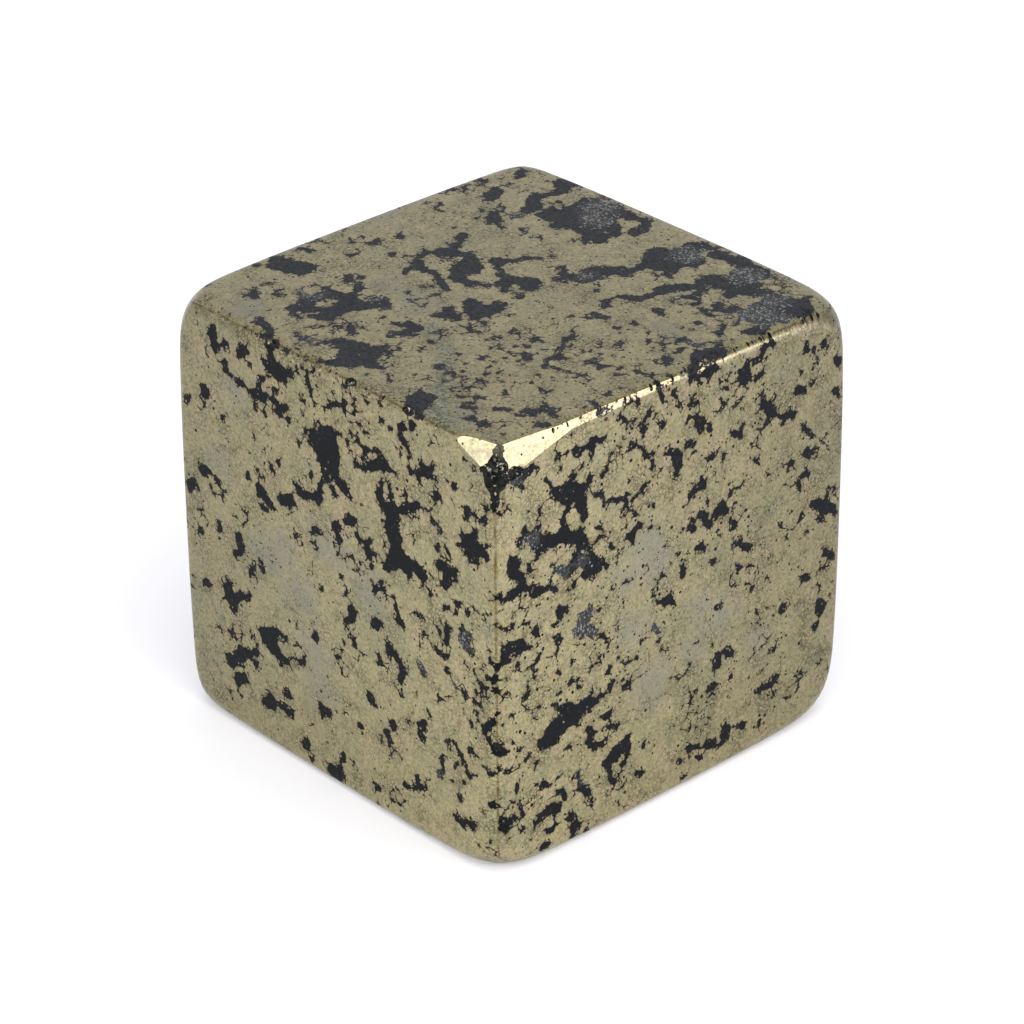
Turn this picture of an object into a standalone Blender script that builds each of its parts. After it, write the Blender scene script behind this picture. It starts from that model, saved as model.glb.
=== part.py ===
"""A polished cube of massive pyrite, 20 mm on a side, standing on one face.

The stone is one solid. It starts as a sharp cube with a grid of lines on its six faces, close together near
the edges. Every grid point then moves in to the worn surface: narrow round edges that widen into round
corners, each capped by a ball, and faces a little higher in the middle. The bottom face stays flat.
Two flat facets trim the top corner at +X, -Y, and grains that have broken away leave a pit under that
corner and chips along the edges.

Units are metres, +Z is up and the origin is the middle of the bottom face.
"""

import math

import bmesh
import bpy
from mathutils import Matrix, Vector, noise

MM = 0.001

# The cut block.
SIDE = 20.0 * MM
HEIGHT = 19.82 * MM

# Wear from polishing. The rounding radius is EDGE_RADIUS in the middle of an edge, and it widens towards the
# edge's ends by a share of the radius of the ball that caps the corner there. A face falls away by CROWN of its
# half width from its middle to its corners. The ball blends in over CAP_BLEND, or over its radius's share where
# that is less, so that the blend stays off the flat faces.
EDGE_RADIUS = 0.30 * MM
WIDENING_SHARE = 0.21
WIDENING_POWER = 3
CROWN = 0.003
CAP_BLEND = 0.35 * MM
CAP_BLEND_SHARE = 0.14
CAP_RADII = {
    (+1, -1, +1): 0.60 * MM,
    (+1, -1, -1): 4.10 * MM,
    (-1, -1, +1): 3.65 * MM,
    (-1, -1, -1): 2.95 * MM,
    (+1, +1, +1): 3.45 * MM,
    (+1, +1, -1): 4.35 * MM,
    (-1, +1, +1): 2.50 * MM,
    (-1, +1, -1): 3.50 * MM,
}

# The grid on each face: rows across the rounded edge, then rows that widen towards the middle.
ROUNDING_ROW_ANGLES = (30.0, 15.0, 0.0)
ROWS_TO_MIDDLE = 9
ROW_WIDENING = 1.5

# The two facets at the knocked top corner: a point on each plane, and the way it faces.
CORNER_FACETS = (
    (Vector((9.68, -8.60, 19.80)) * MM, Vector((1.0, -0.073, 0.252))),
    (Vector((9.00, -9.93, 19.08)) * MM, Vector((0.26, -1.0, 0.60))),
)

# Pit and chips: name, middle of the lost grain, its half sizes, both in millimetres.
LOST_GRAINS = (
    ("corner_pit", (9.92, -9.92, 18.80), (0.72, 0.72, 0.85)),
    ("corner_pit_tail", (9.95, -9.95, 17.95), (0.34, 0.34, 0.60)),
    ("corner_pit_side", (10.05, -9.00, 18.55), (0.30, 0.55, 0.28)),
    ("front_top_chip_left", (-3.40, -9.98, 19.80), (0.50, 0.28, 0.30)),
    ("front_top_chip_middle", (1.45, -10.00, 19.82), (0.32, 0.30, 0.30)),
    ("front_top_chip_right", (4.90, -10.00, 19.82), (0.42, 0.26, 0.28)),
    ("right_top_chip_near", (10.00, -4.30, 19.82), (0.24, 0.16, 0.24)),
    ("right_top_chip_middle", (10.00, -1.15, 19.82), (0.26, 0.20, 0.26)),
    ("right_top_chip_long", (10.02, 1.45, 19.84), (0.30, 0.75, 0.30)),
    ("back_top_chip", (3.60, 10.00, 19.82), (0.60, 0.28, 0.30)),
    ("left_top_chip", (-10.00, 4.10, 19.82), (0.28, 0.50, 0.28)),
    ("front_edge_chip", (9.96, -9.96, 6.40), (0.26, 0.26, 0.34)),
    ("back_edge_chip", (-9.98, 9.98, 12.60), (0.30, 0.30, 0.55)),
)
GRAIN_SUBDIVISIONS = 2
GRAIN_ROUGHNESS = 0.28
GRAIN_NOISE_PITCH = 2.3

# Surface: the pale brass metal that covers most of the stone, for a plain finish.
PYRITE_COLOUR = (0.40, 0.33, 0.19, 1.0)
PYRITE_ROUGHNESS = 0.34


def clear_scene():
    """Removes every object of the scene."""
    for old in list(bpy.data.objects):
        bpy.data.objects.remove(old)


def grid_distances():
    """Distances of the grid lines from an edge, from the edge to just short of the middle."""
    rounding = [EDGE_RADIUS * (1.0 - math.tan(math.radians(angle))) for angle in ROUNDING_ROW_ANGLES]
    to_middle = SIDE / 2 - EDGE_RADIUS
    steps = range(1, ROWS_TO_MIDDLE)
    beyond = [EDGE_RADIUS + to_middle * (step / ROWS_TO_MIDDLE) ** ROW_WIDENING for step in steps]
    return rounding + beyond


def gridded_cube():
    """A sharp cube of the full side, centred on the origin, with the grid lines cut into its faces."""
    cube = bmesh.new()
    bmesh.ops.create_cube(cube, size=SIDE)
    offsets = [SIDE / 2 - distance for distance in grid_distances()]
    offsets = sorted({0.0, *offsets, *(-offset for offset in offsets)})
    for axis in range(3):
        across = Vector([float(axis == k) for k in range(3)])
        for offset in offsets:
            everything = [*cube.verts, *cube.edges, *cube.faces]
            bmesh.ops.bisect_plane(cube, geom=everything, plane_co=across * offset, plane_no=across)
    return cube


def nearest_corner(point):
    """The signs of the corner that a point of the centred cube is nearest to."""
    return tuple(1 if value > 0 else -1 for value in point)


def rounded_edge(point):
    """Moves a point of the sharp cube in to the rounded edges, which widen towards their ends."""
    half = SIDE / 2
    nearness = min(abs(value) for value in point) / half
    widening = WIDENING_SHARE * CAP_RADII[nearest_corner(point)]
    radius = EDGE_RADIUS + widening * nearness**WIDENING_POWER
    core = Vector([max(-half + radius, min(half - radius, value)) for value in point])
    outward = point - core
    return core + outward.normalized() * min(outward.length, radius)


def capped_corner(point):
    """Moves a point near a corner in to the ball that caps it, which just touches the three edges."""
    signs = nearest_corner(point)
    radius = CAP_RADII[signs]
    ball_middle = SIDE / 2 - radius / math.sqrt(2) - EDGE_RADIUS * (1 - math.sqrt(0.5))
    outward = Vector([max(0.0, abs(value) - ball_middle) for value in point])
    reach = outward.length
    if reach == 0.0:
        return point
    width = min(CAP_BLEND, CAP_BLEND_SHARE * radius)
    blend = max(0.0, 1.0 - abs(reach - radius) / width)
    kept = (min(reach, radius) - blend**2 * width / 4) / reach
    return point - Vector([sign * value * (1.0 - kept) for sign, value in zip(signs, outward)])


def worn_point(point):
    """Where a point of the sharp, centred cube lies on the worn stone, standing on z = 0."""
    half = SIDE / 2
    worn = capped_corner(rounded_edge(point))
    share = worn / half
    fall = CROWN / 2
    x = worn.x * (1.0 - fall * (share.y**2 + share.z**2))
    y = worn.y * (1.0 - fall * (share.x**2 + share.z**2))
    top_fall = fall * (share.x**2 + share.y**2) if worn.z > 0 else 0.0
    z = worn.z * (1.0 - top_fall)
    return Vector((x, y, (z + half) * HEIGHT / SIDE))


def cut_facet(stone, point, facing):
    """Trims the mesh flat at a plane and closes the cut with one face."""
    everything = [*stone.verts, *stone.edges, *stone.faces]
    cut = bmesh.ops.bisect_plane(
        stone, geom=everything, plane_co=point, plane_no=facing.normalized(), clear_outer=True
    )
    rim = [edge for edge in cut["geom_cut"] if isinstance(edge, bmesh.types.BMEdge)]
    bmesh.ops.edgeloop_fill(stone, edges=rim)


def lost_grain(name, middle, half_sizes):
    """A lumpy closed shape that stands for a grain of stone that has broken away, kept out of the render."""
    grain = bmesh.new()
    bmesh.ops.create_icosphere(grain, subdivisions=GRAIN_SUBDIVISIONS, radius=1.0)
    seed = Vector(middle)
    for vertex in grain.verts:
        bump = noise.noise(vertex.co * GRAIN_NOISE_PITCH + seed)
        vertex.co *= 1.0 + GRAIN_ROUGHNESS * bump
    grain.transform(Matrix.Diagonal((*half_sizes, 1.0)))
    grain.transform(Matrix.Translation(seed))
    grain.transform(Matrix.Scale(MM, 4))
    mesh = bpy.data.meshes.new(name)
    grain.to_mesh(mesh)
    grain.free()
    cutter = bpy.data.objects.new(name, mesh)
    cutter.hide_render = True
    cutter.display_type = "WIRE"
    bpy.context.collection.objects.link(cutter)
    return cutter


def pyrite_material():
    """Pale brass metal with a satin polish."""
    material = bpy.data.materials.new("polished_pyrite")
    material.use_nodes = True
    shader = material.node_tree.nodes["Principled BSDF"]
    shader.inputs["Base Color"].default_value = PYRITE_COLOUR
    shader.inputs["Metallic"].default_value = 1.0
    shader.inputs["Roughness"].default_value = PYRITE_ROUGHNESS
    return material


def pyrite_cube():
    """The stone: worn cube, corner facets, pit and chips."""
    stone = gridded_cube()
    for vertex in stone.verts:
        vertex.co = worn_point(vertex.co)
    for point, facing in CORNER_FACETS:
        cut_facet(stone, point, facing)
    bmesh.ops.recalc_face_normals(stone, faces=stone.faces)
    mesh = bpy.data.meshes.new("pyrite_cube")
    stone.to_mesh(mesh)
    stone.free()
    mesh.shade_smooth()
    mesh.set_sharp_from_angle(angle=math.radians(25))
    cube = bpy.data.objects.new("pyrite_cube", mesh)
    bpy.context.collection.objects.link(cube)
    cube.data.materials.append(pyrite_material())
    for name, middle, half_sizes in LOST_GRAINS:
        cut = cube.modifiers.new(name, "BOOLEAN")
        cut.operation = "DIFFERENCE"
        cut.solver = "EXACT"
        cut.object = lost_grain(name, middle, half_sizes)
    return cube


def main():
    """Builds the stone in an empty scene."""
    clear_scene()
    pyrite_cube()


main()
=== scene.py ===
"""The looks of a polished cube of massive pyrite with black patches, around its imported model.

One piece, the stone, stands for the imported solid. Its mesh is that solid's own shape, cut finely enough to
carry the marks of the cut faces: black mineral, grey and bluish films, green and rust-brown stains. Each mark
is a chain of beads laid on a face; the mesh holds how deep each point lies inside the marks, and the finish
turns that into ragged grains. Places are in millimetres until they reach a mesh, +Z is up and the origin is
the middle of the bottom face.
"""

import logging
import math
from dataclasses import dataclass, field
from enum import Enum

import bmesh
import bpy
import numpy as np
from mathutils import Matrix, Vector, kdtree, noise

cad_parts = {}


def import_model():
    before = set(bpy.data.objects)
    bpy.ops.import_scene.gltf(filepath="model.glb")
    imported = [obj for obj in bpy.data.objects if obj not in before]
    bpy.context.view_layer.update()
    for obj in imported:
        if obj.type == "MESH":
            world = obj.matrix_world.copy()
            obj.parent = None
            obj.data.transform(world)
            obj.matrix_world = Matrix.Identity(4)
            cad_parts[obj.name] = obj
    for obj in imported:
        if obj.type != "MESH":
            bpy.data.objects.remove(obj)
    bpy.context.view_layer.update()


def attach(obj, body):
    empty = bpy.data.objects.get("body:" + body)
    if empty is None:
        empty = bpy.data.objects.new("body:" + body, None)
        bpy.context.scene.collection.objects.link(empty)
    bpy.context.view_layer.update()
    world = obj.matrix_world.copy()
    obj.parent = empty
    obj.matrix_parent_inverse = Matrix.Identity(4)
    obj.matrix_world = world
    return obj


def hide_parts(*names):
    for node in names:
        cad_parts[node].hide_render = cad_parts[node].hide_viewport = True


MM = 0.001

# How near to a cutting plane a point counts as lying on it, in metres, and what keeps a division from zero.
SNAP = 1e-7
TINY = 1e-9

NODE = "pyrite_cube"
BODY = "root"

# What the mesh stores at its points, besides the films.
BLACK_DEPTH = "black_depth"
EDGE_DISTANCE = "edge_distance"

# A bead is (u, v, half width) in millimetres on a face, and the beads of a chain join up.
Bead = tuple[float, float, float]
Chain = tuple[Bead, ...]
Node = bpy.types.ShaderNode
Socket = bpy.types.NodeSocket
Colour = tuple[float, float, float]

# What a node's input takes: a link, or a number, or the three numbers of a colour or a place.
Value = Socket | float
Triple = Socket | Colour
Input = Value | Colour

log = logging.getLogger("pyrite")


def chains(text: str) -> tuple[Chain, ...]:
    """Chains of beads from their written form.

    Args:
        text: The chains, parted by semicolons. A chain's beads are parted by commas, and a bead is written as
            its u, v and half width.

    Returns:
        The chains.
    """
    return tuple(
        tuple(tuple(float(number) for number in bead.split()) for bead in chain.split(","))
        for chain in text.split(";")
    )


class Side(Enum):
    """A face of the stone: the axis it faces along, and which way."""

    FRONT = (1, -1)
    RIGHT = (0, +1)
    TOP = (2, +1)
    BACK = (1, +1)
    LEFT = (0, -1)
    BOTTOM = (2, -1)

    @property
    def axis(self) -> int:
        """The index of the axis that the face is square to."""
        return self.value[0]

    @property
    def across(self) -> tuple[int, int]:
        """The indices of the two axes that u and v run along."""
        return tuple(k for k in range(3) if k != self.axis)

    @property
    def level(self) -> float:
        """Where the face lies along its axis, in millimetres.

        Returns:
            The level.
        """
        if self.axis == 2:
            return STONE.height if self.value[1] > 0 else 0.0
        return self.value[1] * STONE.side / 2


class Film(Enum):
    """What tints the surface without covering it; the value is the name of its mesh attribute."""

    GREY = "grey_film"
    BLUISH = "bluish_film"
    GREEN = "green_stain"
    RUST = "rust_stain"


@dataclass(frozen=True)
class WornForm:
    """The shape of the worn cube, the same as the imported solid's. Lengths are in millimetres.

    The rounding radius is edge_radius in the middle of an edge and widens towards the edge's ends by a share
    of the radius of the ball that caps the corner there. A face falls away by crown of its half width from
    its middle to its corners, apart from the bottom face, which is flat. The ball that caps a corner blends
    in over cap_blend, or over a share of its radius where that is less. The whole is smaller than the solid
    by the inset, a share of its size, because the solid's coarser faces cut its own curves short.
    """

    side: float = 20.0
    height: float = 19.82
    edge_radius: float = 0.30
    widening_share: float = 0.21
    widening_power: int = 3
    crown: float = 0.003
    cap_blend: float = 0.35
    cap_blend_share: float = 0.14
    inset: float = 0.0001
    cap_radii: tuple[float, ...] = (2.95, 3.65, 3.50, 2.50, 4.10, 0.60, 4.35, 3.45)

    def cap_radius(self, points: np.ndarray) -> np.ndarray:
        """The cap radius at the corner that each point is nearest to.

        Args:
            points: One point of the centred cube a row.

        Returns:
            One radius a point. The corners count in binary: x, then y, then z, each 1 on its positive side.
        """
        ups = points > 0.0
        return np.array(self.cap_radii)[ups @ np.array((4, 2, 1))]

    def rounded(self, points: np.ndarray) -> np.ndarray:
        """Moves points of the sharp cube in to the rounded edges.

        Args:
            points: One point of the sharp, centred cube a row.

        Returns:
            The moved points.
        """
        half = self.side / 2
        nearness = np.abs(points).min(axis=1) / half
        widening = self.widening_share * self.cap_radius(points)
        radius = self.edge_radius + widening * nearness**self.widening_power
        limit = (half - radius)[:, None]
        core = np.clip(points, -limit, limit)
        outward = points - core
        reach = np.linalg.norm(outward, axis=1)
        share = np.minimum(reach, radius) / np.maximum(reach, TINY)
        return core + outward * share[:, None]

    def capped(self, points: np.ndarray) -> np.ndarray:
        """Moves points near a corner in to the ball that caps it.

        Args:
            points: One point of the centred, round-edged cube a row.

        Returns:
            The moved points.
        """
        radius = self.cap_radius(points)
        ball_middle = self.side / 2 - radius / math.sqrt(2) - self.edge_radius * (1 - math.sqrt(0.5))
        outward = np.maximum(0.0, np.abs(points) - ball_middle[:, None])
        reach = np.linalg.norm(outward, axis=1)
        width = np.minimum(self.cap_blend, self.cap_blend_share * radius)
        blend = np.maximum(0.0, 1.0 - np.abs(reach - radius) / width)
        kept = (np.minimum(reach, radius) - blend**2 * width / 4) / np.maximum(reach, TINY)
        return points - np.where(points > 0.0, 1.0, -1.0) * outward * (1.0 - kept)[:, None]

    def worn(self, points: np.ndarray) -> np.ndarray:
        """Where points of the sharp, centred cube lie on the worn stone, standing on z = 0.

        Args:
            points: One point of the sharp, centred cube a row.

        Returns:
            The points of the worn stone.
        """
        half = self.side / 2
        x, y, z = self.capped(self.rounded(points)).T
        fall = self.crown / 2
        bulged_x = x * (1.0 - fall * ((y / half) ** 2 + (z / half) ** 2))
        bulged_y = y * (1.0 - fall * ((x / half) ** 2 + (z / half) ** 2))
        top_fall = np.where(z > 0.0, fall * ((x / half) ** 2 + (y / half) ** 2), 0.0)
        places = np.stack([bulged_x, bulged_y, self.standing(z * (1.0 - top_fall))], axis=1)
        return places * (1.0 - self.inset)

    def standing(self, z: np.ndarray) -> np.ndarray:
        """Heights over the bottom face, from heights over the cube's middle."""
        return (z + self.side / 2) * self.height / self.side


STONE = WornForm()


@dataclass(frozen=True)
class Jitter:
    """A rough field in space that makes straight chains and round beads look grown.

    Attributes:
        pitch: How many lumps there are in a millimetre.
        octaves: How many times finer lumps are added.
        weakening: How fast finer lumps get weaker.
        finer: How many times finer each next size is.
        shift: How far a point is looked up from its own place, in millimetres.
        swell: How much a half width grows and shrinks, as a share.
        limits: The least and greatest factor on a half width.
        seed: What the shift's chance starts from, so that it's the same each time.
    """

    pitch: float = 1.7
    octaves: int = 2
    weakening: float = 0.7
    finer: float = 2.0
    shift: float = 0.07
    swell: float = 0.40
    limits: tuple[float, float] = (0.6, 1.6)
    seed: int = 3

    def shifted(self, points: np.ndarray) -> np.ndarray:
        """The points moved about by up to the shift, smoothly from one to the next."""
        noise.seed_set(self.seed)
        moves = [noise.noise_vector(Vector(point) * self.pitch) for point in points.tolist()]
        return points + self.shift * np.array(moves)

    def swelling(self, points: np.ndarray) -> np.ndarray:
        """The factor on the half widths at each point.

        Args:
            points: One point of the stone a row, in millimetres.

        Returns:
            One factor a point.
        """
        lumps = [
            noise.fractal(Vector(point) * self.pitch, self.weakening, self.finer, self.octaves)
            for point in points.tolist()
        ]
        return np.clip(1.0 + self.swell * np.array(lumps), *self.limits)


@dataclass(frozen=True)
class FaceMarks:
    """The marks of one face.

    Attributes:
        side: The face that they lie on.
        black: Chains of black mineral.
        islets: Chains of pyrite inside the black.
        films: Chains of each film.
    """

    side: Side
    black: tuple[Chain, ...] = ()
    islets: tuple[Chain, ...] = ()
    films: dict[Film, tuple[Chain, ...]] = field(default_factory=dict)


@dataclass(frozen=True)
class WildMarks:
    """Marks for a face that has none of its own, grown by chance from a seed.

    Attributes:
        sizes: How many chains there are of each size: count, most beads, half width range in millimetres.
        films: The same for each film.
        step: How far apart beads lie, in half widths.
        turn: How far a chain may turn from bead to bead, in radians.
        margin: How far the first bead stays inside the edge, in millimetres.
    """

    sizes: tuple[tuple[int, int, float, float], ...] = (
        (9, 8, 0.30, 0.55),
        (34, 5, 0.18, 0.34),
        (60, 4, 0.10, 0.20),
        (70, 4, 0.05, 0.10),
    )
    films: tuple[tuple[Film, int, int, float, float], ...] = (
        (Film.BLUISH, 9, 3, 0.5, 1.1),
        (Film.GREY, 4, 3, 0.3, 0.6),
        (Film.GREEN, 4, 3, 0.2, 0.4),
        (Film.RUST, 3, 3, 0.2, 0.4),
    )
    step: float = 1.3
    turn: float = 1.1
    margin: float = 0.4

    def chain(self, chance: np.random.Generator, lift: float, most: int, low: float, high: float) -> Chain:
        """One chain that wanders off in a random way.

        Args:
            chance: The source of random numbers.
            lift: What is added to each bead's v.
            most: The most beads.
            low: The least half width.
            high: The greatest half width.

        Returns:
            The chain.
        """
        limit = STONE.side / 2 - self.margin
        u, v = chance.uniform(-limit, limit, 2)
        heading = chance.uniform(0.0, 2 * math.pi)
        beads = []
        for _ in range(int(chance.integers(1, most + 1))):
            half_width = chance.uniform(low, high)
            beads.append((float(u), float(v) + lift, float(half_width)))
            heading += chance.uniform(-self.turn, self.turn)
            u += math.cos(heading) * half_width * self.step
            v += math.sin(heading) * half_width * self.step
        return tuple(beads)

    def on(self, side: Side, seed: int) -> FaceMarks:
        """The marks of one face.

        Args:
            side: The face.
            seed: What its chance starts from.

        Returns:
            The marks, with v counted as the face needs it.
        """
        chance = np.random.default_rng(seed)
        lift = 0.0 if side.axis == 2 else STONE.height / 2
        black = tuple(
            self.chain(chance, lift, *size) for count, *size in self.sizes for _ in range(count)
        )
        films = {
            film: tuple(self.chain(chance, lift, *size) for _ in range(count))
            for film, count, *size in self.films
        }
        return FaceMarks(side, black=black, films=films)


@dataclass(frozen=True)
class MarkField:
    """All the marks of the stone, as depths that can be asked for at any point.

    Attributes:
        faces: The marks, face by face.
        jitter: What roughens the black marks and their islets.
        floor: The depth of a point far outside every mark, in millimetres.
        ceiling: The greatest depth that is told apart.
        film_softness: Over how many millimetres a film fades out.
        haze_softness: The same for the bluish film.
        thin_gain: How much wider the thinnest chain is made, so that the lobes don't swallow it.
        thin_limit: The half width from which a chain isn't widened.
        round_edge: How far in from a face's plane its points may lie.
        widest_swell: More than the greatest factor on a half width.
    """

    faces: tuple[FaceMarks, ...]
    jitter: Jitter = Jitter()
    floor: float = -0.8
    ceiling: float = 0.8
    film_softness: float = 0.30
    haze_softness: float = 0.75
    thin_gain: float = 0.045
    thin_limit: float = 0.16
    round_edge: float = 1.0
    widest_swell: float = 2.0

    def chain_depth(
        self, points: np.ndarray, swelling: np.ndarray, side: Side, marks: tuple[Chain, ...]
    ) -> np.ndarray:
        """How deep each point lies inside the fattest of the chains, as bands of varying width.

        Args:
            points: One point of the stone a row, in millimetres.
            swelling: The factor on the half widths at each point.
            side: The face that the chains lie on.
            marks: The chains.

        Returns:
            One depth a point, negative outside, never under the floor.
        """
        depth = np.full(len(points), self.floor)
        near = np.flatnonzero(np.abs(points[:, side.axis] - side.level) < self.round_edge - self.floor)
        local = points[near]
        found = depth[near]
        swell = swelling[near]
        for chain in marks:
            ends = np.array([self.placed(side, bead) for bead in (*chain, chain[-1])])
            half_widths = [bead[2] for bead in (*chain, chain[-1])]
            for start, end, first, last in zip(ends, ends[1:], half_widths, half_widths[1:]):
                reach = self.widest_swell * max(first, last) - self.floor
                low = np.minimum(start, end) - reach
                high = np.maximum(start, end) + reach
                close = np.flatnonzero(((local > low) & (local < high)).all(axis=1))
                if len(close) == 0:
                    continue
                along = end - start
                spot = local[close] - start
                share = np.clip(spot @ along / max(float(along @ along), TINY), 0.0, 1.0)
                away = np.linalg.norm(spot - share[:, None] * along, axis=1)
                half_width = (first + share * (last - first)) * swell[close]
                half_width += self.thin_gain * np.clip(1.0 - half_width / self.thin_limit, 0.0, 1.0)
                found[close] = np.maximum(found[close], half_width - away)
        depth[near] = found
        return depth

    @staticmethod
    def placed(side: Side, bead: Bead) -> list[float]:
        """Where the middle of a bead lies, in millimetres.

        Args:
            side: The face.
            bead: The bead.

        Returns:
            Its x, y and z.
        """
        place = [0.0, 0.0, 0.0]
        place[side.axis] = side.level
        for axis, value in zip(side.across, bead):
            place[axis] = value
        return place

    def black_depth(self, points: np.ndarray) -> np.ndarray:
        """How deep each point lies in black mineral.

        Args:
            points: One point of the stone a row, in millimetres.

        Returns:
            One depth a point, in millimetres, negative in the pyrite.
        """
        moved = self.jitter.shifted(points)
        swelling = self.jitter.swelling(points)
        depth = np.full(len(points), self.floor)
        for marks in self.faces:
            depth = np.maximum(depth, self.chain_depth(moved, swelling, marks.side, marks.black))
        for marks in self.faces:
            depth = np.minimum(depth, -self.chain_depth(moved, swelling, marks.side, marks.islets))
        return np.minimum(depth, self.ceiling)

    def film(self, points: np.ndarray, film: Film) -> np.ndarray:
        """How strongly a film tints each point.

        Args:
            points: One point of the stone a row, in millimetres.
            film: The film.

        Returns:
            One share a point, from 0 to 1.
        """
        plain = np.ones(len(points))
        depth = np.full(len(points), self.floor)
        for marks in self.faces:
            film_depth = self.chain_depth(points, plain, marks.side, marks.films.get(film, ()))
            depth = np.maximum(depth, film_depth)
        softness = self.haze_softness if film is Film.BLUISH else self.film_softness
        return np.clip(0.5 + depth / (2 * softness), 0.0, 1.0)


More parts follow.
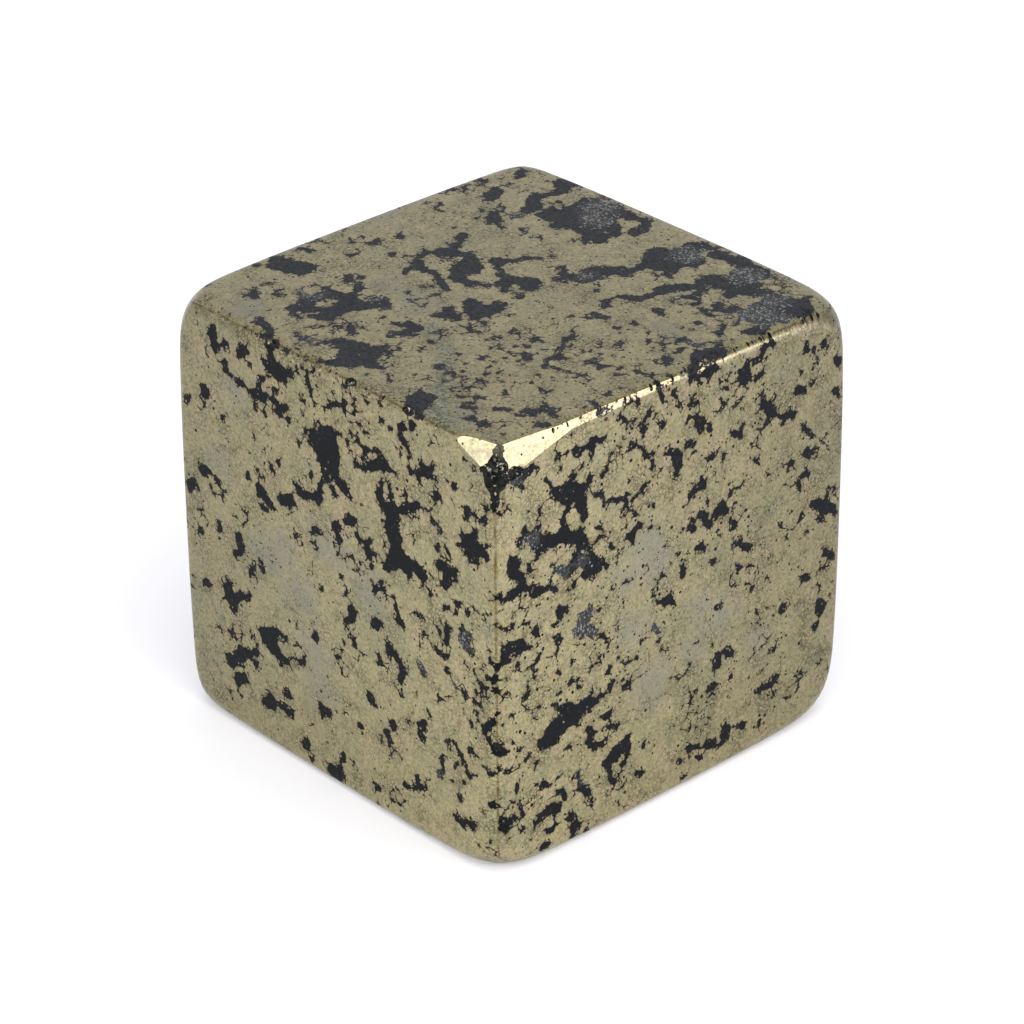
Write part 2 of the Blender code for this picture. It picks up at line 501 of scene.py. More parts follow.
# The marks of three faces, listed bead by bead. On the front, u runs along x and v up; on the right, u
# runs along y and v up; on the top, u runs along x and v along y.
FRONT_MARKS = FaceMarks(
    Side.FRONT,
    black=chains("""
-3.55 19.9 .22, -3.6 19.4 .25, -3.45 18.9 .35; -3.95 18.75 .15, -3.4 18.6 .45, -2.9 18.45 .45;
-2.45 18.75 .25; -2.6 18.3 .2; -3.7 18 .15, -4.2 17.75 .15, -4.3 17.3 .2, -4.2 16.95 .25; -5 16.9 .18,
-4.3 17 .25, -3.7 17.15 .15, -3.1 16.95 .22, -2.65 17.1 .14; -3.15 16.75 .22; -3.5 17.2 .12,
-3.25 17.65 .12; -4.1 16.6 .15, -3.95 16.2 .1; -4.55 16.3 .12; -7.25 18.6 .3, -7.05 18.25 .3, -6.5 18.55 .2;
-7.2 19.1 .15; -5.6 18.5 .22, -5.15 18.75 .25; -4.9 18.2 .12; -6.45 17.6 .25, -6.3 17.3 .18,
-5.85 17.15 .15, -5.2 17 .12; -8 15.9 .25, -7.95 15.7 .25; -9.25 15 .25, -9 15.15 .15; -6.75 15.05 .22;
-3.75 13.9 .27, -3.55 13.75 .2; -1.95 13.55 .3, -1.75 13.35 .2, -1.5 13.5 .07, -1.1 13.6 .12,
-.75 13.65 .27, -.65 13.9 .12, -.55 14.3 .1, -.2 14.7 .12; -3.05 12.65 .25, -2.45 12.75 .28, -2.6 12.5 .2;
-4.5 12.45 .33, -4.1 12.2 .25, -3.7 11.95 .2; -4.4 11.7 .18; -.9 12.05 .25, -.7 12 .2; -1.15 12.1 .1;
-2.35 11.2 .14; -8.4 12 .28, -8 12 .22; -7.4 11.8 .27; -9.1 11 .35, -9.3 10.75 .3; -1.4 19.9 .1,
-1.35 19.4 .22, -1.3 19 .2, -1.1 18.6 .1, -.95 18.2 .08; -.4 19.3 .1; -.35 19.1 .1; -.65 18.8 .08;
-.7 18 .12; -.15 18 .1; -2.6 19.75 .14; -1.75 17.85 .1; -1.35 17.8 .1; -1.5 17.3 .1; -2.4 16.7 .12;
-2.5 16.5 .1; -1.9 15.7 .1; -3.2 14.3 .12; -1.1 14.6 .08; -4.05 15.4 .11; -.8 16.4 .4, -.3 16.5 .6,
.1 16.9 .5; -1.1 15.95 .15, -.3 15.6 .4, -.15 15.1 .25, -.1 14.8 .2; -1.05 16.8 .15; -5.3 12.9 .14;
-4.2 19.9 .2; -5.3 19.85 .18; .15 16.7 .5, .3 15.8 .45, .3 15.2 .4; .5 17.1 .15, .85 17.1 .1; .6 14.95 .25,
1 14.6 .25, 1.4 14.5 .08; .2 14.4 .15, .3 14.2 .1; 1.4 17.5 .08, 1.45 17.2 .08, 1.3 16.9 .1, 1.5 16.5 .1,
1.8 16.2 .2; 1.9 17.5 .1, 1.85 17.2 .08; 1.2 17.05 .06, 2 17.1 .05, 2.4 17 .07, 3.1 17.3 .06; 2.3 16.9 .1,
2.2 16.6 .12, 2.6 16.4 .2, 3.1 16.6 .25, 3.4 16.8 .3, 3.9 16.75 .12, 4.2 16.7 .05; 3.1 17.15 .1;
2 16.15 .15, 2.4 16.3 .15; 3.25 16.3 .08, 3.25 15.6 .1, 3.15 15.2 .3, 3.4 14.9 .3; 3 15.4 .15; 3.85 16 .08,
3.8 15.7 .15, 3.9 15.4 .2, 4.1 15.2 .12; 4.3 15.1 .2, 4.8 15.35 .25, 5.2 15.55 .25, 5.5 15.85 .15,
5.8 15.8 .08, 6.2 15.6 .06, 6.5 15.3 .12, 6.7 15.1 .2; 4.6 16.1 .06, 4.75 15.8 .06; 4 14.8 .45,
3.9 14.2 .55, 4 13.6 .5, 4.3 13 .5, 3.9 12.6 .45, 3.6 12.15 .3; 4.75 13.6 .06; 4.9 12.9 .3, 5.3 12.8 .3,
5.7 12.55 .25, 5.65 12.1 .15; 4.9 12.4 .2, 4.9 12.1 .08; 6 12.2 .1, 6.15 11.95 .06; 5.4 13.05 .12;
4.6 12.5 .2; 3.4 13.1 .12; 2.9 12.35 .15, 2.5 12.4 .2, 2.3 12.6 .25, 2.3 12.2 .25, 2.2 12 .15; 2.5 13 .15,
2.4 12.8 .2; 2.5 11.8 .15; 1.3 13.45 .2, 1.6 13.55 .1; 1.1 13.3 .12; 1.6 12.9 .1, 1.8 12.8 .08;
.45 12.65 .3, .5 12.35 .28; 1.3 11.7 .09; 1.8 11.6 .09; 8.75 15.4 .55; 8.5 15.15 .5; 9.2 15.2 .35;
8.8 14.7 .3; 8.9 15.8 .25; 8.25 15.5 .2; 7.9 14.95 .1; 9.5 15.6 .15; 4.7 18.9 .25, 4.55 18.7 .15,
4.6 18.4 .18, 4.85 18.2 .18, 4.95 17.8 .1, 4.9 17.5 .12, 5 17.15 .12, 5.3 17.1 .12, 5.55 17 .15;
5.7 17.7 .2, 5.75 17.4 .3, 5.95 17.4 .25, 6.3 17.7 .18, 6.5 17.9 .12; 5.5 17.25 .15; 6.65 16.6 .2,
6.8 16.75 .12, 6.5 16.45 .12, 6.5 16.2 .05, 6.3 15.8 .05; 1.2 18.8 .18, 1.1 18.6 .12, 1.1 18.2 .05,
1.4 18 .06, 1.6 17.9 .06; 1.1 18.5 .05, .6 18.45 .06, .3 18.35 .15, 0 18.1 .08; 1.2 19.2 .06, 1.3 19.6 .12,
1.5 19.9 .12; 2 18 .08, 2.25 17.75 .12, 2.5 17.85 .07; 3.4 18.8 .14; 3.4 19.3 .08, 3.3 19.7 .08; 4 18.6 .06,
3.8 18.6 .06; 2.3 19.35 .1, 2.5 19.25 .1; 1.85 18.8 .08; .05 19.3 .06; .4 19.3 .06; 5.3 19.4 .1,
5.15 19.2 .08; 5.3 20 .18; 7.2 17.55 .1; 7.7 17.55 .1; 6.7 17.3 .08; 8.35 16.65 .12; 9.15 16.4 .12;
7.3 16.3 .1; 7.1 13.4 .4, 7.5 13.4 .25; 6.9 13.6 .2, 7.1 12.9 .2, 7.05 12.65 .08; 6.6 13.4 .2; 6.9 14 .05;
7.6 13.7 .1; 6.65 15 .07, 6.7 14.6 .06, 6.6 14.2 .05; 7.1 14.6 .06, 7.3 14.2 .05; 6.3 12.85 .06,
6.1 12.9 .06; 7.8 12.15 .22, 7.6 12.05 .15, 7.65 11.75 .1; 7.9 12.35 .1; 7.2 11.85 .06, 6.9 11.7 .05;
8.4 12.05 .06; 7.95 11.4 .12, 8 11.2 .1, 8.2 10.9 .25, 8.15 10.5 .4, 8.5 10.4 .2; 8.4 11.1 .12;
8.7 10.45 .08; 6.95 11.2 .08, 7.1 10.8 .12, 7.2 10.4 .1, 7 10.1 .08; 6.7 11 .06, 6.5 10.7 .08, 6.6 10.4 .07;
5.4 10.75 .12, 5.2 10.65 .1, 5.7 10.5 .1; 5.8 10.2 .1, 5.7 10 .08; 3.75 10.9 .1, 3.9 10.6 .12, 4 10.3 .15,
4.2 10.1 .14, 4.5 9.8 .08; 2.85 10.9 .12, 2.7 10.7 .1; 2.95 11.2 .1, 3.5 11.5 .06; 9.6 10.9 .08,
9.7 10.6 .08, 9.6 10.4 .06, 10 10.2 .1; 9.5 12.5 .12, 9.4 12.2 .1; .6 10.5 .14; .9 9.9 .15, .8 9.7 .12;
1.1 9.4 .12, 1.2 9.2 .25, 1.35 8.9 .25, 1 8.6 .2, .8 8.45 .15; 2.95 9.35 .12, 2.7 9.15 .2, 2.5 9 .12;
3.75 8.65 .12, 3.6 8.4 .3, 3.5 8.2 .25, 3.5 7.9 .15; 3.9 8.2 .25, 4.25 7.8 .22, 4.35 7.5 .25, 4.1 7.2 .18;
4.45 7.9 .12; 4.3 9.85 .15, 4.1 10 .2, 4.7 9.8 .06; 1.3 7.8 .12, 1.4 7.55 .14; 1.15 8 .08; 2.85 7.6 .15,
2.95 7.4 .15, 2.6 7.35 .1; .65 7.4 .14; .2 6.45 .25; 5.6 5.7 .15, 5.45 5.4 .27, 5.3 5.15 .22; 4.9 5.35 .12,
4.6 5.3 .08; 5.5 5 .15; 5.8 6.35 .1, 5.9 6.2 .08; 2.45 5.2 .18, 2.2 5.3 .12; 2.1 5.6 .09; 3.7 4.7 .2,
3.65 4.9 .12; 3.2 4.15 .18, 3.35 3.8 .22, 3.45 3.65 .12; 2.8 3.85 .11; 1.6 3.75 .18; 5.05 2.9 .12,
5.1 2.7 .22, 5.2 2.5 .22, 5.5 2.6 .15, 5.7 2.7 .08; 4.95 2.3 .15, 4.5 2.1 .12, 4.3 2.15 .1; 7.45 2.05 .15,
7.6 2.1 .22, 7.8 1.95 .2, 8.05 2.1 .08, 8.5 2.1 .14, 8.65 2.25 .1; 2.3 1.2 .22, 2.6 1.15 .15, 2.9 1.3 .1;
3.9 1.05 .1; 8.85 1.3 .09; 7.8 3 .1; 7.25 3.65 .08; 8 3.95 .06; .4 1.7 .16; .1 .7 .35, -.4 .6 .35;
6.5 3.6 .2, 6.6 4.2 .1, 6.7 4.5 .08; 7.4 5.6 .12, 7.6 5.3 .15, 7.9 5.1 .12, 8.1 5 .06; 7.7 4.7 .08,
7.4 4.5 .05; 8.3 5.6 .12, 8.6 5.9 .05; 8.5 5.5 .1, 8.9 5.6 .07; 6.95 5.4 .08, 7.1 5.25 .06; 8.35 4.4 .09,
8.1 4.45 .06; 8.35 4.4 .06, 8.6 4.7 .05; 9.8 7.6 .1, 9.5 7.3 .2, 9.25 7 .25, 9.4 6.75 .15, 9.7 6.4 .15,
9.95 6.2 .15; 9.5 9.5 .1, 9.8 9.45 .12, 10 9.5 .15; 9.9 9.15 .1; 9.3 9.8 .06; 9.1 8.9 .06, 9.4 9 .08,
9.45 8.7 .08; 8.8 8.1 .05, 9.1 8.05 .05; 6.6 9.5 .2, 6.9 9.35 .15, 7.05 9.5 .12; 6.6 9.25 .15, 6.35 9.7 .08,
6.2 9.75 .06; 7.1 8.9 .14; 7 10 .1; 5.4 9.3 .08, 5.6 9.3 .05; 5.45 8.35 .25, 5.6 8.1 .15; 7.5 8.3 .12;
8 8.3 .12, 8.1 8.1 .1; 8.2 8.4 .06; 8.5 7.1 .05, 8.45 6.9 .07, 8.4 6.7 .04; 8 7.4 .05; 9.5 3.55 .1,
9.7 3.6 .06, 9.85 3.5 .07; 9.5 5.1 .06, 9.8 5.2 .08; 9.2 5.3 .05, 9.4 5.35 .04; 9.5 1.65 .06; -6.1 9.5 .3,
-5.9 9.2 .22, -6.1 8.8 .15, -6.35 8.65 .2; -4.65 8.6 .25; -8.7 8.85 .23; -7.4 9.6 .27; -7.1 7.1 .2,
-7 6.8 .35, -6.8 6.4 .45, -6.7 6 .3; -6.8 6.4 .4, -6.3 6.6 .3, -5.8 6.9 .22, -5.55 7.1 .12; -8.5 6.5 .23;
-4.7 5.6 .3, -4.3 5.5 .5, -4 5.8 .3, -3.5 6 .2, -3.2 6 .15; -4 5.1 .4, -3.6 4.75 .3, -3.25 4.8 .2;
-6.9 3.2 .4, -6.5 3.6 .35, -6 4 .3, -5.5 4.2 .25, -5.2 4.3 .2; -5.3 3.75 .25; -6.6 2.3 .25, -6.4 2.6 .35,
-6 2.6 .3; -4.7 2 .25, -4.5 2.3 .35, -4 2.3 .3, -3.4 2.35 .25, -3 2.4 .2; -.85 3.45 .3, -.6 3.5 .2;
-2.1 1.3 .3; -1.7 .6 .25; -1.2 6.85 .22; -3.2 3.2 .23; -.7 9.4 .14
    """),
    islets=chains("4.55 13.55 .2; 5.3 17.15 .1"),
    films={
        Film.GREY: chains("""
6.7 15.1 .2; 8.2 10.9 .25, 8.15 10.5 .4; 6.5 3.6 .2; 5.45 8.35 .25, 5.6 8.1 .15; 7.5 8.3 .12
        """),
        Film.BLUISH: chains("""
-1.6 4.65 .25; -3.3 8.7 .25; -4.4 9.5 .8, -3.4 10 .8; -2 8.5 .8; -1.2 6 .9; -1 4.4 .8; .1 11.6 .5,
.9 11.6 .5; 2.3 10.6 1; -7.6 12.8 .3, -6.8 12.8 .3; -5.9 16.7 .6; -3 10.6 .5; -.5 11.5 .8
        """),
        Film.GREEN: chains("-7.4 9.6 .3; 9.6 11.8 .3"),
    },
)

RIGHT_MARKS = FaceMarks(
    Side.RIGHT,
    black=chains("""
-9.2 18.4 .2, -8.7 18.3 .25, -8 18.45 .22, -7.75 18.3 .1; -8.8 18 .15, -8.4 17.65 .05; -6.6 19.25 .12;
-5.9 19.25 .13; -6.5 17.95 .12; -7.3 19.6 .1; -6.75 19.65 .06; -5.3 19.75 .08; -4.2 19.6 .2; -5.7 18.4 .18,
-5.3 18.3 .3, -4.9 18.2 .28, -4.85 17.9 .15; -4.7 18.4 .12, -4.3 18.4 .08, -4.05 18.5 .05; -7.3 17.75 .05,
-7.1 17.4 .12, -6.9 17.1 .2, -6.5 16.8 .35, -6 16.8 .4, -5.6 16.5 .45, -5.4 16.1 .4, -5.3 15.7 .3,
-5.2 15.3 .2; -5.8 17.3 .25, -5.5 17.4 .15, -5.3 17.6 .1; -6.2 16.3 .3, -6.1 16 .2, -6.3 15.7 .15,
-6.4 15.3 .15, -6.3 15 .2; -4.9 16.85 .18, -4.85 16.7 .12; -7.3 16.8 .05, -7.5 16.6 .06, -7.65 16.4 .08,
-7.7 16 .1, -7.65 15.6 .12, -7.6 15.3 .15; -8.5 15.9 .12, -8.4 15.6 .15, -8.2 15.4 .2, -7.9 15.2 .25,
-7.6 15 .3, -7.2 14.85 .3, -6.6 14.8 .35, -6 14.7 .4, -5.6 14.4 .35, -5.3 14 .35, -5 13.8 .25,
-4.6 13.9 .15, -4.3 14.1 .12, -4.3 14.4 .08; -7.9 14.7 .25, -8.1 14.4 .25, -8.2 14.1 .2, -8.1 13.8 .12;
-9.1 14.6 .35, -8.9 14.3 .35, -8.7 14 .2, -8.6 13.6 .25, -8.8 13.3 .3, -9.2 13.2 .25, -9.6 13.1 .12;
-8.4 13.4 .2, -8.1 13 .2, -7.8 12.8 .22, -7.4 12.75 .18, -7.1 13 .12; -7.4 12.75 .12, -7 12.65 .1,
-6.7 12.5 .06, -6.3 12.3 .05; -6.5 13.3 .25, -6.2 13.1 .3, -5.8 13.3 .25, -5.5 13.6 .25, -5.3 13.3 .25,
-4.9 13.1 .4, -4.6 12.8 .4, -4.9 12.5 .3, -5.2 12.6 .2; -5.6 12.8 .2, -5.9 12.4 .15, -6.2 12.3 .06;
-4.3 13 .15; -4.4 12.3 .06; -3.85 17.7 .1, -3.75 17.5 .2, -3.55 17.4 .1; -4 17.2 .05, -4.05 16.8 .06;
-3 18 .05, -2.7 17.6 .05, -2.3 17.3 .08, -1.95 17 .1, -1.85 16.7 .1, -1.6 16.4 .1, -1.4 16.1 .12,
-1.2 16 .1; -1.75 18.6 .2, -1.9 18.3 .15, -1.95 18 .1; -2.2 18.3 .06; -3.15 18.9 .12, -3 18.7 .06;
-2.9 18.3 .06, -2.6 18.3 .1, -2.4 18.6 .06, -2.4 19 .05, -2.3 19.5 .1; -2.7 19.5 .08; -1.2 19.7 .12,
-1.05 19.5 .1, -1 19.1 .08, -.9 18.8 .15; -1.2 18.5 .08, -1.25 18.3 .05, -1.1 18 .1, -.95 17.8 .14;
-.35 19.75 .1, -.45 19.3 .05, -.3 19 .06, -.1 18.7 .12, 0 18.4 .08; -4.6 15.9 .06, -4.2 15.8 .08,
-4.1 15.5 .06, -3.7 15.45 .05, -3.3 15.25 .06, -3 15.2 .08, -2.9 15 .15, -3.25 14.7 .08; -2.6 15 .08,
-2.3 15.15 .06, -2 15.4 .1, -1.8 15.4 .1; -4.4 14.5 .1; -.7 16.4 .2, -.4 16.4 .25, -.1 16.2 .25, 0 15.7 .25,
0 15.4 .25, .1 15.2 .15; -.95 15.8 .06; -2.85 13.5 .1, -2.6 13.4 .25, -2.5 13.2 .2; -2.5 13.6 .12,
-2.3 13.8 .12, -2.1 13.7 .06; -3.8 13.4 .12; -3.65 13.2 .08; -4 12.5 .08; -3.65 11.3 .1; -1.4 14.35 .06;
-1.5 13.35 .08; -.7 12.2 .11; 0 11.6 .14; -1.4 16.7 .08; -1.35 17.5 .05; -9.9 12 .15, -9.6 11.8 .12,
-9.3 11.7 .12, -9.1 11.9 .1; -8.5 11.7 .06, -8.2 11.55 .1; -9.5 10.7 .25, -9.2 10.8 .3, -8.8 10.8 .25,
-8.5 10.6 .2, -8.1 10.35 .1; -9 10.4 .2, -9.6 10.3 .15, -9.9 10.1 .12; -7.9 11.2 .12, -7.8 10.8 .08,
-7.8 10.4 .08, -7.7 10.1 .08, -7.6 9.9 .06; -6.9 10.95 .08, -6.7 11.1 .12, -6.5 11.3 .25, -6.3 11.5 .2,
-6.15 11.3 .15; -6.6 11.65 .08; -6.8 10.3 .15, -6.6 10.1 .12, -6.6 9.8 .1, -6.8 9.5 .05; -5.2 10.6 .45,
-5.5 10.2 .3; -4.9 10.9 .15; -5 10 .3, -4.5 9.7 .2, -4.1 9.3 .2, -4 9 .08; -4.4 10.65 .06; -3 10.3 .07;
-1.1 10.3 .09; .75 19.5 .15, .7 19.3 .12; 1.3 19.4 .2, 1.7 19.3 .35, 2.1 19.35 .25, 2.2 19.5 .15;
2.2 18.9 .1, 2.3 18.6 .1; 1.15 19 .08, .95 18.7 .06, .85 18.4 .08, .85 17.9 .08, .95 17.5 .1; .5 18.2 .1;
.2 18.15 .08; .6 17.6 .12, .45 17.45 .08; 1.25 17.2 .3, 1.2 16.9 .2, 1.2 16.7 .1; 1.7 16.8 .1,
1.75 16.6 .05; .2 16.4 .1, .5 16.5 .08, .7 16.4 .08, .95 16.3 .08; .85 15.9 .1; 2.5 18.25 .08, 2.8 18.1 .08,
3.05 17.9 .08; 2.4 17.8 .05, 2.6 17.5 .07, 2.4 17.2 .05; 3.4 18.7 .1, 3.8 18.7 .25, 3.8 18.4 .3,
3.95 18.15 .2, 4.4 18.05 .15, 4.7 18.1 .15; 4.2 18.8 .15, 4.7 18.9 .1, 4.9 19.3 .15; 5 18.8 .08;
4.85 17.7 .09; 5.3 19.4 .1, 5.4 19.2 .06; 6.3 19 .1; 3.4 19.4 .1; 3.3 17.25 .15, 3.5 17.2 .15, 3.6 17.5 .06;
4.75 17.1 .18, 4.7 16.9 .15, 5.1 16.4 .3, 5.3 16.1 .3, 5.2 15.8 .15; 5.6 16.4 .12; 5.8 15.85 .12,
6.3 15.75 .2, 6.7 15.6 .2; 6.1 15.3 .09; 6.9 16.6 .2, 7.2 16.5 .1; 7 17.4 .14; 7.35 18.5 .15, 7.4 18.3 .1;
7.8 18.2 .15, 7.9 17.8 .12; 8.4 18.3 .2, 8.6 18.1 .15; 9.2 17.3 .2, 9.4 17.1 .2; 9.3 15.7 .3; 3 16 .08,
3.2 16 .15, 3.5 15.9 .22, 3.55 15.6 .12; 3.5 16 .15, 3.8 16.2 .12; 1.6 15.3 .2, 1.9 15.3 .15, 2.2 15.5 .12,
2.5 15.4 .08, 2.65 15.1 .08; 2.1 15 .08; 1.3 14.7 .15, 1.2 14.4 .25, 1.45 14.2 .2; 1 14.2 .15, .85 14.1 .1;
7.3 14.8 .15, 7.5 14.4 .2, 7.8 14.1 .15; 7.6 13.6 .22, 7.5 13.4 .15, 8.1 13.4 .2; 9.4 14.2 .18;
8.8 13.8 .11; 6.6 13.3 .18; .75 12.6 .2, .85 12.3 .15; .8 12.7 .15, 1.2 12.9 .15, 1.5 12.85 .2, 1.6 12.4 .2,
1.85 12.2 .2, 2.1 12.5 .22, 2.45 12.8 .25, 2.6 12.6 .2, 2.9 12.4 .15, 3.05 12.1 .1, 3.2 11.75 .2,
3.4 11.5 .1; 2.3 11.8 .08, 2.5 11.5 .12; 1.15 11.4 .12, 1.3 11.35 .2, 1.45 11.2 .15; .35 10.9 .15,
.4 10.5 .15; 3.3 11 .1, 3.5 10.7 .25, 3.8 10.4 .15, 4.3 10.3 .14; 2.2 10.3 .14; 8 10.9 .15, 8.2 10.8 .25,
8.6 10.5 .35, 9.1 10.3 .3, 9.4 10.1 .25; 3.5 13.3 .1; 3.8 13.45 .1; 3.4 12.6 .08; 4 12.05 .09; 1.7 13.3 .08;
3 13.2 .06; 7.3 12.5 .23; 7.2 12 .18; 6.1 10.7 .14; 7.3 10.5 .18; -10 9.7 .15, -9.7 9.5 .08, -9.4 9.5 .08;
-8.9 9.9 .04, -8.75 9.6 .04, -8.4 9.45 .05, -8 9.5 .08, -7.8 9.7 .06, -7.7 10 .06; -7.85 9.2 .1,
-7.9 8.9 .05; -8.4 8.7 .06, -8.25 8.5 .06, -8.4 8.2 .08, -8.1 8.25 .05; -8.4 7.85 .08; -8.4 7.6 .06;
-7.6 8.25 .05; -8.1 6.3 .07; -7.7 7.5 .08, -7.8 7.2 .03, -7.9 7 .08; -6.6 8.7 .08, -6.5 8.5 .08;
-6.6 7.6 .1; -6.2 7.95 .08, -6.05 7.9 .15, -5.8 8 .08; -5.9 8.8 .06; -5.5 7.5 .1; -5.3 9.8 .15;
-5.7 9.6 .06; -9.7 7.4 .05, -9.2 7.7 .05; -9.95 8 .1; -10 6.6 .15, -9.8 6.3 .12, -9.6 6.1 .15, -9.4 6.2 .12,
-9.15 6.4 .06; -8.7 5.9 .12; -9.6 5.1 .06, -9.25 5.2 .12, -8.9 5.15 .06, -8.5 5.3 .05, -8.2 5.5 .04;
-9.95 5.4 .12; -7.6 5.7 .3, -7.2 5.8 .45, -6.6 6.1 .6, -6.1 6.3 .6, -5.6 6.3 .5, -5.1 6.5 .35, -4.7 6.5 .35,
-4.5 6.4 .2, -4.2 6.45 .1, -4 6.6 .12, -3.8 6.8 .15, -3.65 7 .1; -6.3 6.8 .25, -6.7 7.1 .1, -6.85 7.25 .06;
-4.8 7 .15; -6.1 4.85 .06, -5.9 4.9 .1, -5.75 4.85 .12; -5.05 5.2 .15, -4.9 5 .15, -4.95 4.6 .15,
-4.7 4.35 .18, -4.4 4.3 .12, -4.2 4.2 .1; -4.9 5 .12, -4.5 4.9 .1, -4 4.9 .1, -3.6 4.8 .08, -3.4 4.7 .06;
-4.1 5.5 .12, -3.85 5.5 .08; -3.2 5.8 .11; -3.4 8 .1, -3.1 7.9 .1, -2.9 7.6 .12, -2.7 7.5 .06; -3.7 7.7 .06,
-3.9 7.5 .06; -2.4 7.7 .08, -2.2 7.5 .06; -1.95 8.15 .1, -1.7 8.25 .12; -1.2 8.6 .15, -1 8.3 .2,
-.8 8.2 .15; -1 7.9 .1; -.6 9.6 .25; -.9 9.7 .12, -1.2 9.8 .06; -.35 9.7 .12, -.3 9.9 .1; -.2 9.3 .1;
-2.8 3.9 .25, -3 3.6 .45, -3.5 3.4 .4, -3.9 3.2 .3, -3.8 2.8 .2, -3.7 2.3 .15, -3.4 1.95 .12, -3.1 1.9 .08;
-2.7 3.3 .25, -2.9 2.7 .12, -3.2 2.8 .12; -5.6 3.4 .15, -5.5 2.6 .2, -5.2 2.4 .25, -4.9 2.1 .2,
-4.75 1.6 .12, -4.75 1.4 .08; -7.9 2 .1, -7.7 2.1 .2, -7.4 2.25 .2, -7 2.35 .25, -6.7 2.2 .25, -6.6 2 .12;
-6.9 1.9 .12, -6.8 1.5 .1, -7.1 1.3 .1, -7.3 1.35 .06; -8.8 2 .1, -8.6 2.05 .06; -6.8 3.1 .08, -6.5 3 .1,
-6.4 2.8 .08, -6.3 2.5 .06; -6.1 1.7 .1, -5.95 1.5 .2, -5.8 1.2 .25, -5.75 .8 .25, -5.8 .5 .2; -7.5 .7 .2,
-7.2 .6 .15; -7.6 3.8 .08, -7.4 3.6 .12, -7.2 3.45 .08; -7.95 3.3 .07; -8.4 3.2 .09; -6.7 3.7 .1;
-7.95 3.8 .06; -8.95 4.3 .05, -8.9 4 .08; -8.8 3.1 .05, -8.6 2.75 .09; -8 4.6 .06, -7.9 4.9 .04;
-9.9 3.6 .12; -9.8 2.9 .1; -2.2 1.95 .15, -1.95 1.85 .12; -1.85 3.1 .11; .6 2.1 .15, .8 1.9 .15,
1.4 1.7 .15, 1.9 1.6 .2, 2.3 1.4 .22, 2.7 1.4 .22, 3.1 1.5 .3, 3.2 1.8 .25, 3.1 2.1 .15; .3 1.5 .14;
1.5 1.1 .18; 4.1 1.7 .23; 5.1 1.3 .18; .5 .5 .15; 2.1 4.5 .18, 2.15 4.2 .25, 2.1 4 .2; 2.5 5.7 .2,
2.4 5.3 .25; 2.5 5.7 .15, 2.9 5.7 .15, 3.3 5.5 .22; 6.3 6.6 .15, 6.45 6.45 .25; 7.65 7.4 .28; 8.9 8.2 .2,
9.2 7.9 .2, 9.4 7.7 .12; 8.6 5.7 .35, 8.8 5.5 .3; 3.3 4.4 .14; 7.6 9.6 .14; 4.8 3 .14, 5.7 3 .18,
6.2 3.2 .18; 7.6 2.8 .18; 8.4 4.7 .23; 3.5 9.8 .15, 3.6 9.6 .18; 2.4 8.1 .18; 4.4 8.2 .14; .1 5.6 .18
    """),
    islets=chains("""
-5.3 18.05 .1; -6.35 16.1 .13; -6.6 15.3 .12; -5.95 15.55 .2, -5.9 15.2 .15; -5.5 15.25 .18; -9.1 13.7 .13;
-8.6 14.8 .15, -8.2 14.5 .25; -7.25 14.3 .22; -7.4 13.5 .5, -6.9 14 .4, -6.4 14.1 .3, -5.9 13.8 .2,
-5.75 14.1 .15; -5.9 12.7 .22; -3.2 2.95 .12
    """),
    films={
        Film.GREY: chains("""
-9.2 18.4 .2, -8.7 18.3 .25; -4.2 19.6 .2; -8.2 15.4 .2, -7.9 15.2 .25; -6.5 13.3 .25, -6.2 13.1 .3;
-5.3 13.3 .25; -5.2 10.6 .45, -5.5 10.2 .3; -5 10 .3, -4.5 9.7 .2; -5.3 9.8 .15; -1.2 8.6 .15, -1 8.3 .2,
-.8 8.2 .15; -5 3.2 .5; 2.9 10.2 .5
        """),
        Film.BLUISH: chains("""
-1.7 12.5 1; -2.5 11.5 .8; -1.3 11.5 .8; 1.5 8.5 .6; 2.7 7.5 .7; 1 6.6 .6; -1.5 6 1; -2.5 9 .7; 4.7 5.5 .5
        """),
        Film.GREEN: chains("""
2.1 4.5 .18, 2.15 4.2 .25, 2.1 4 .2; 2.5 5.7 .2, 2.4 5.3 .25; 3.3 4.4 .15; 7.6 9.6 .15
        """),
    },
)

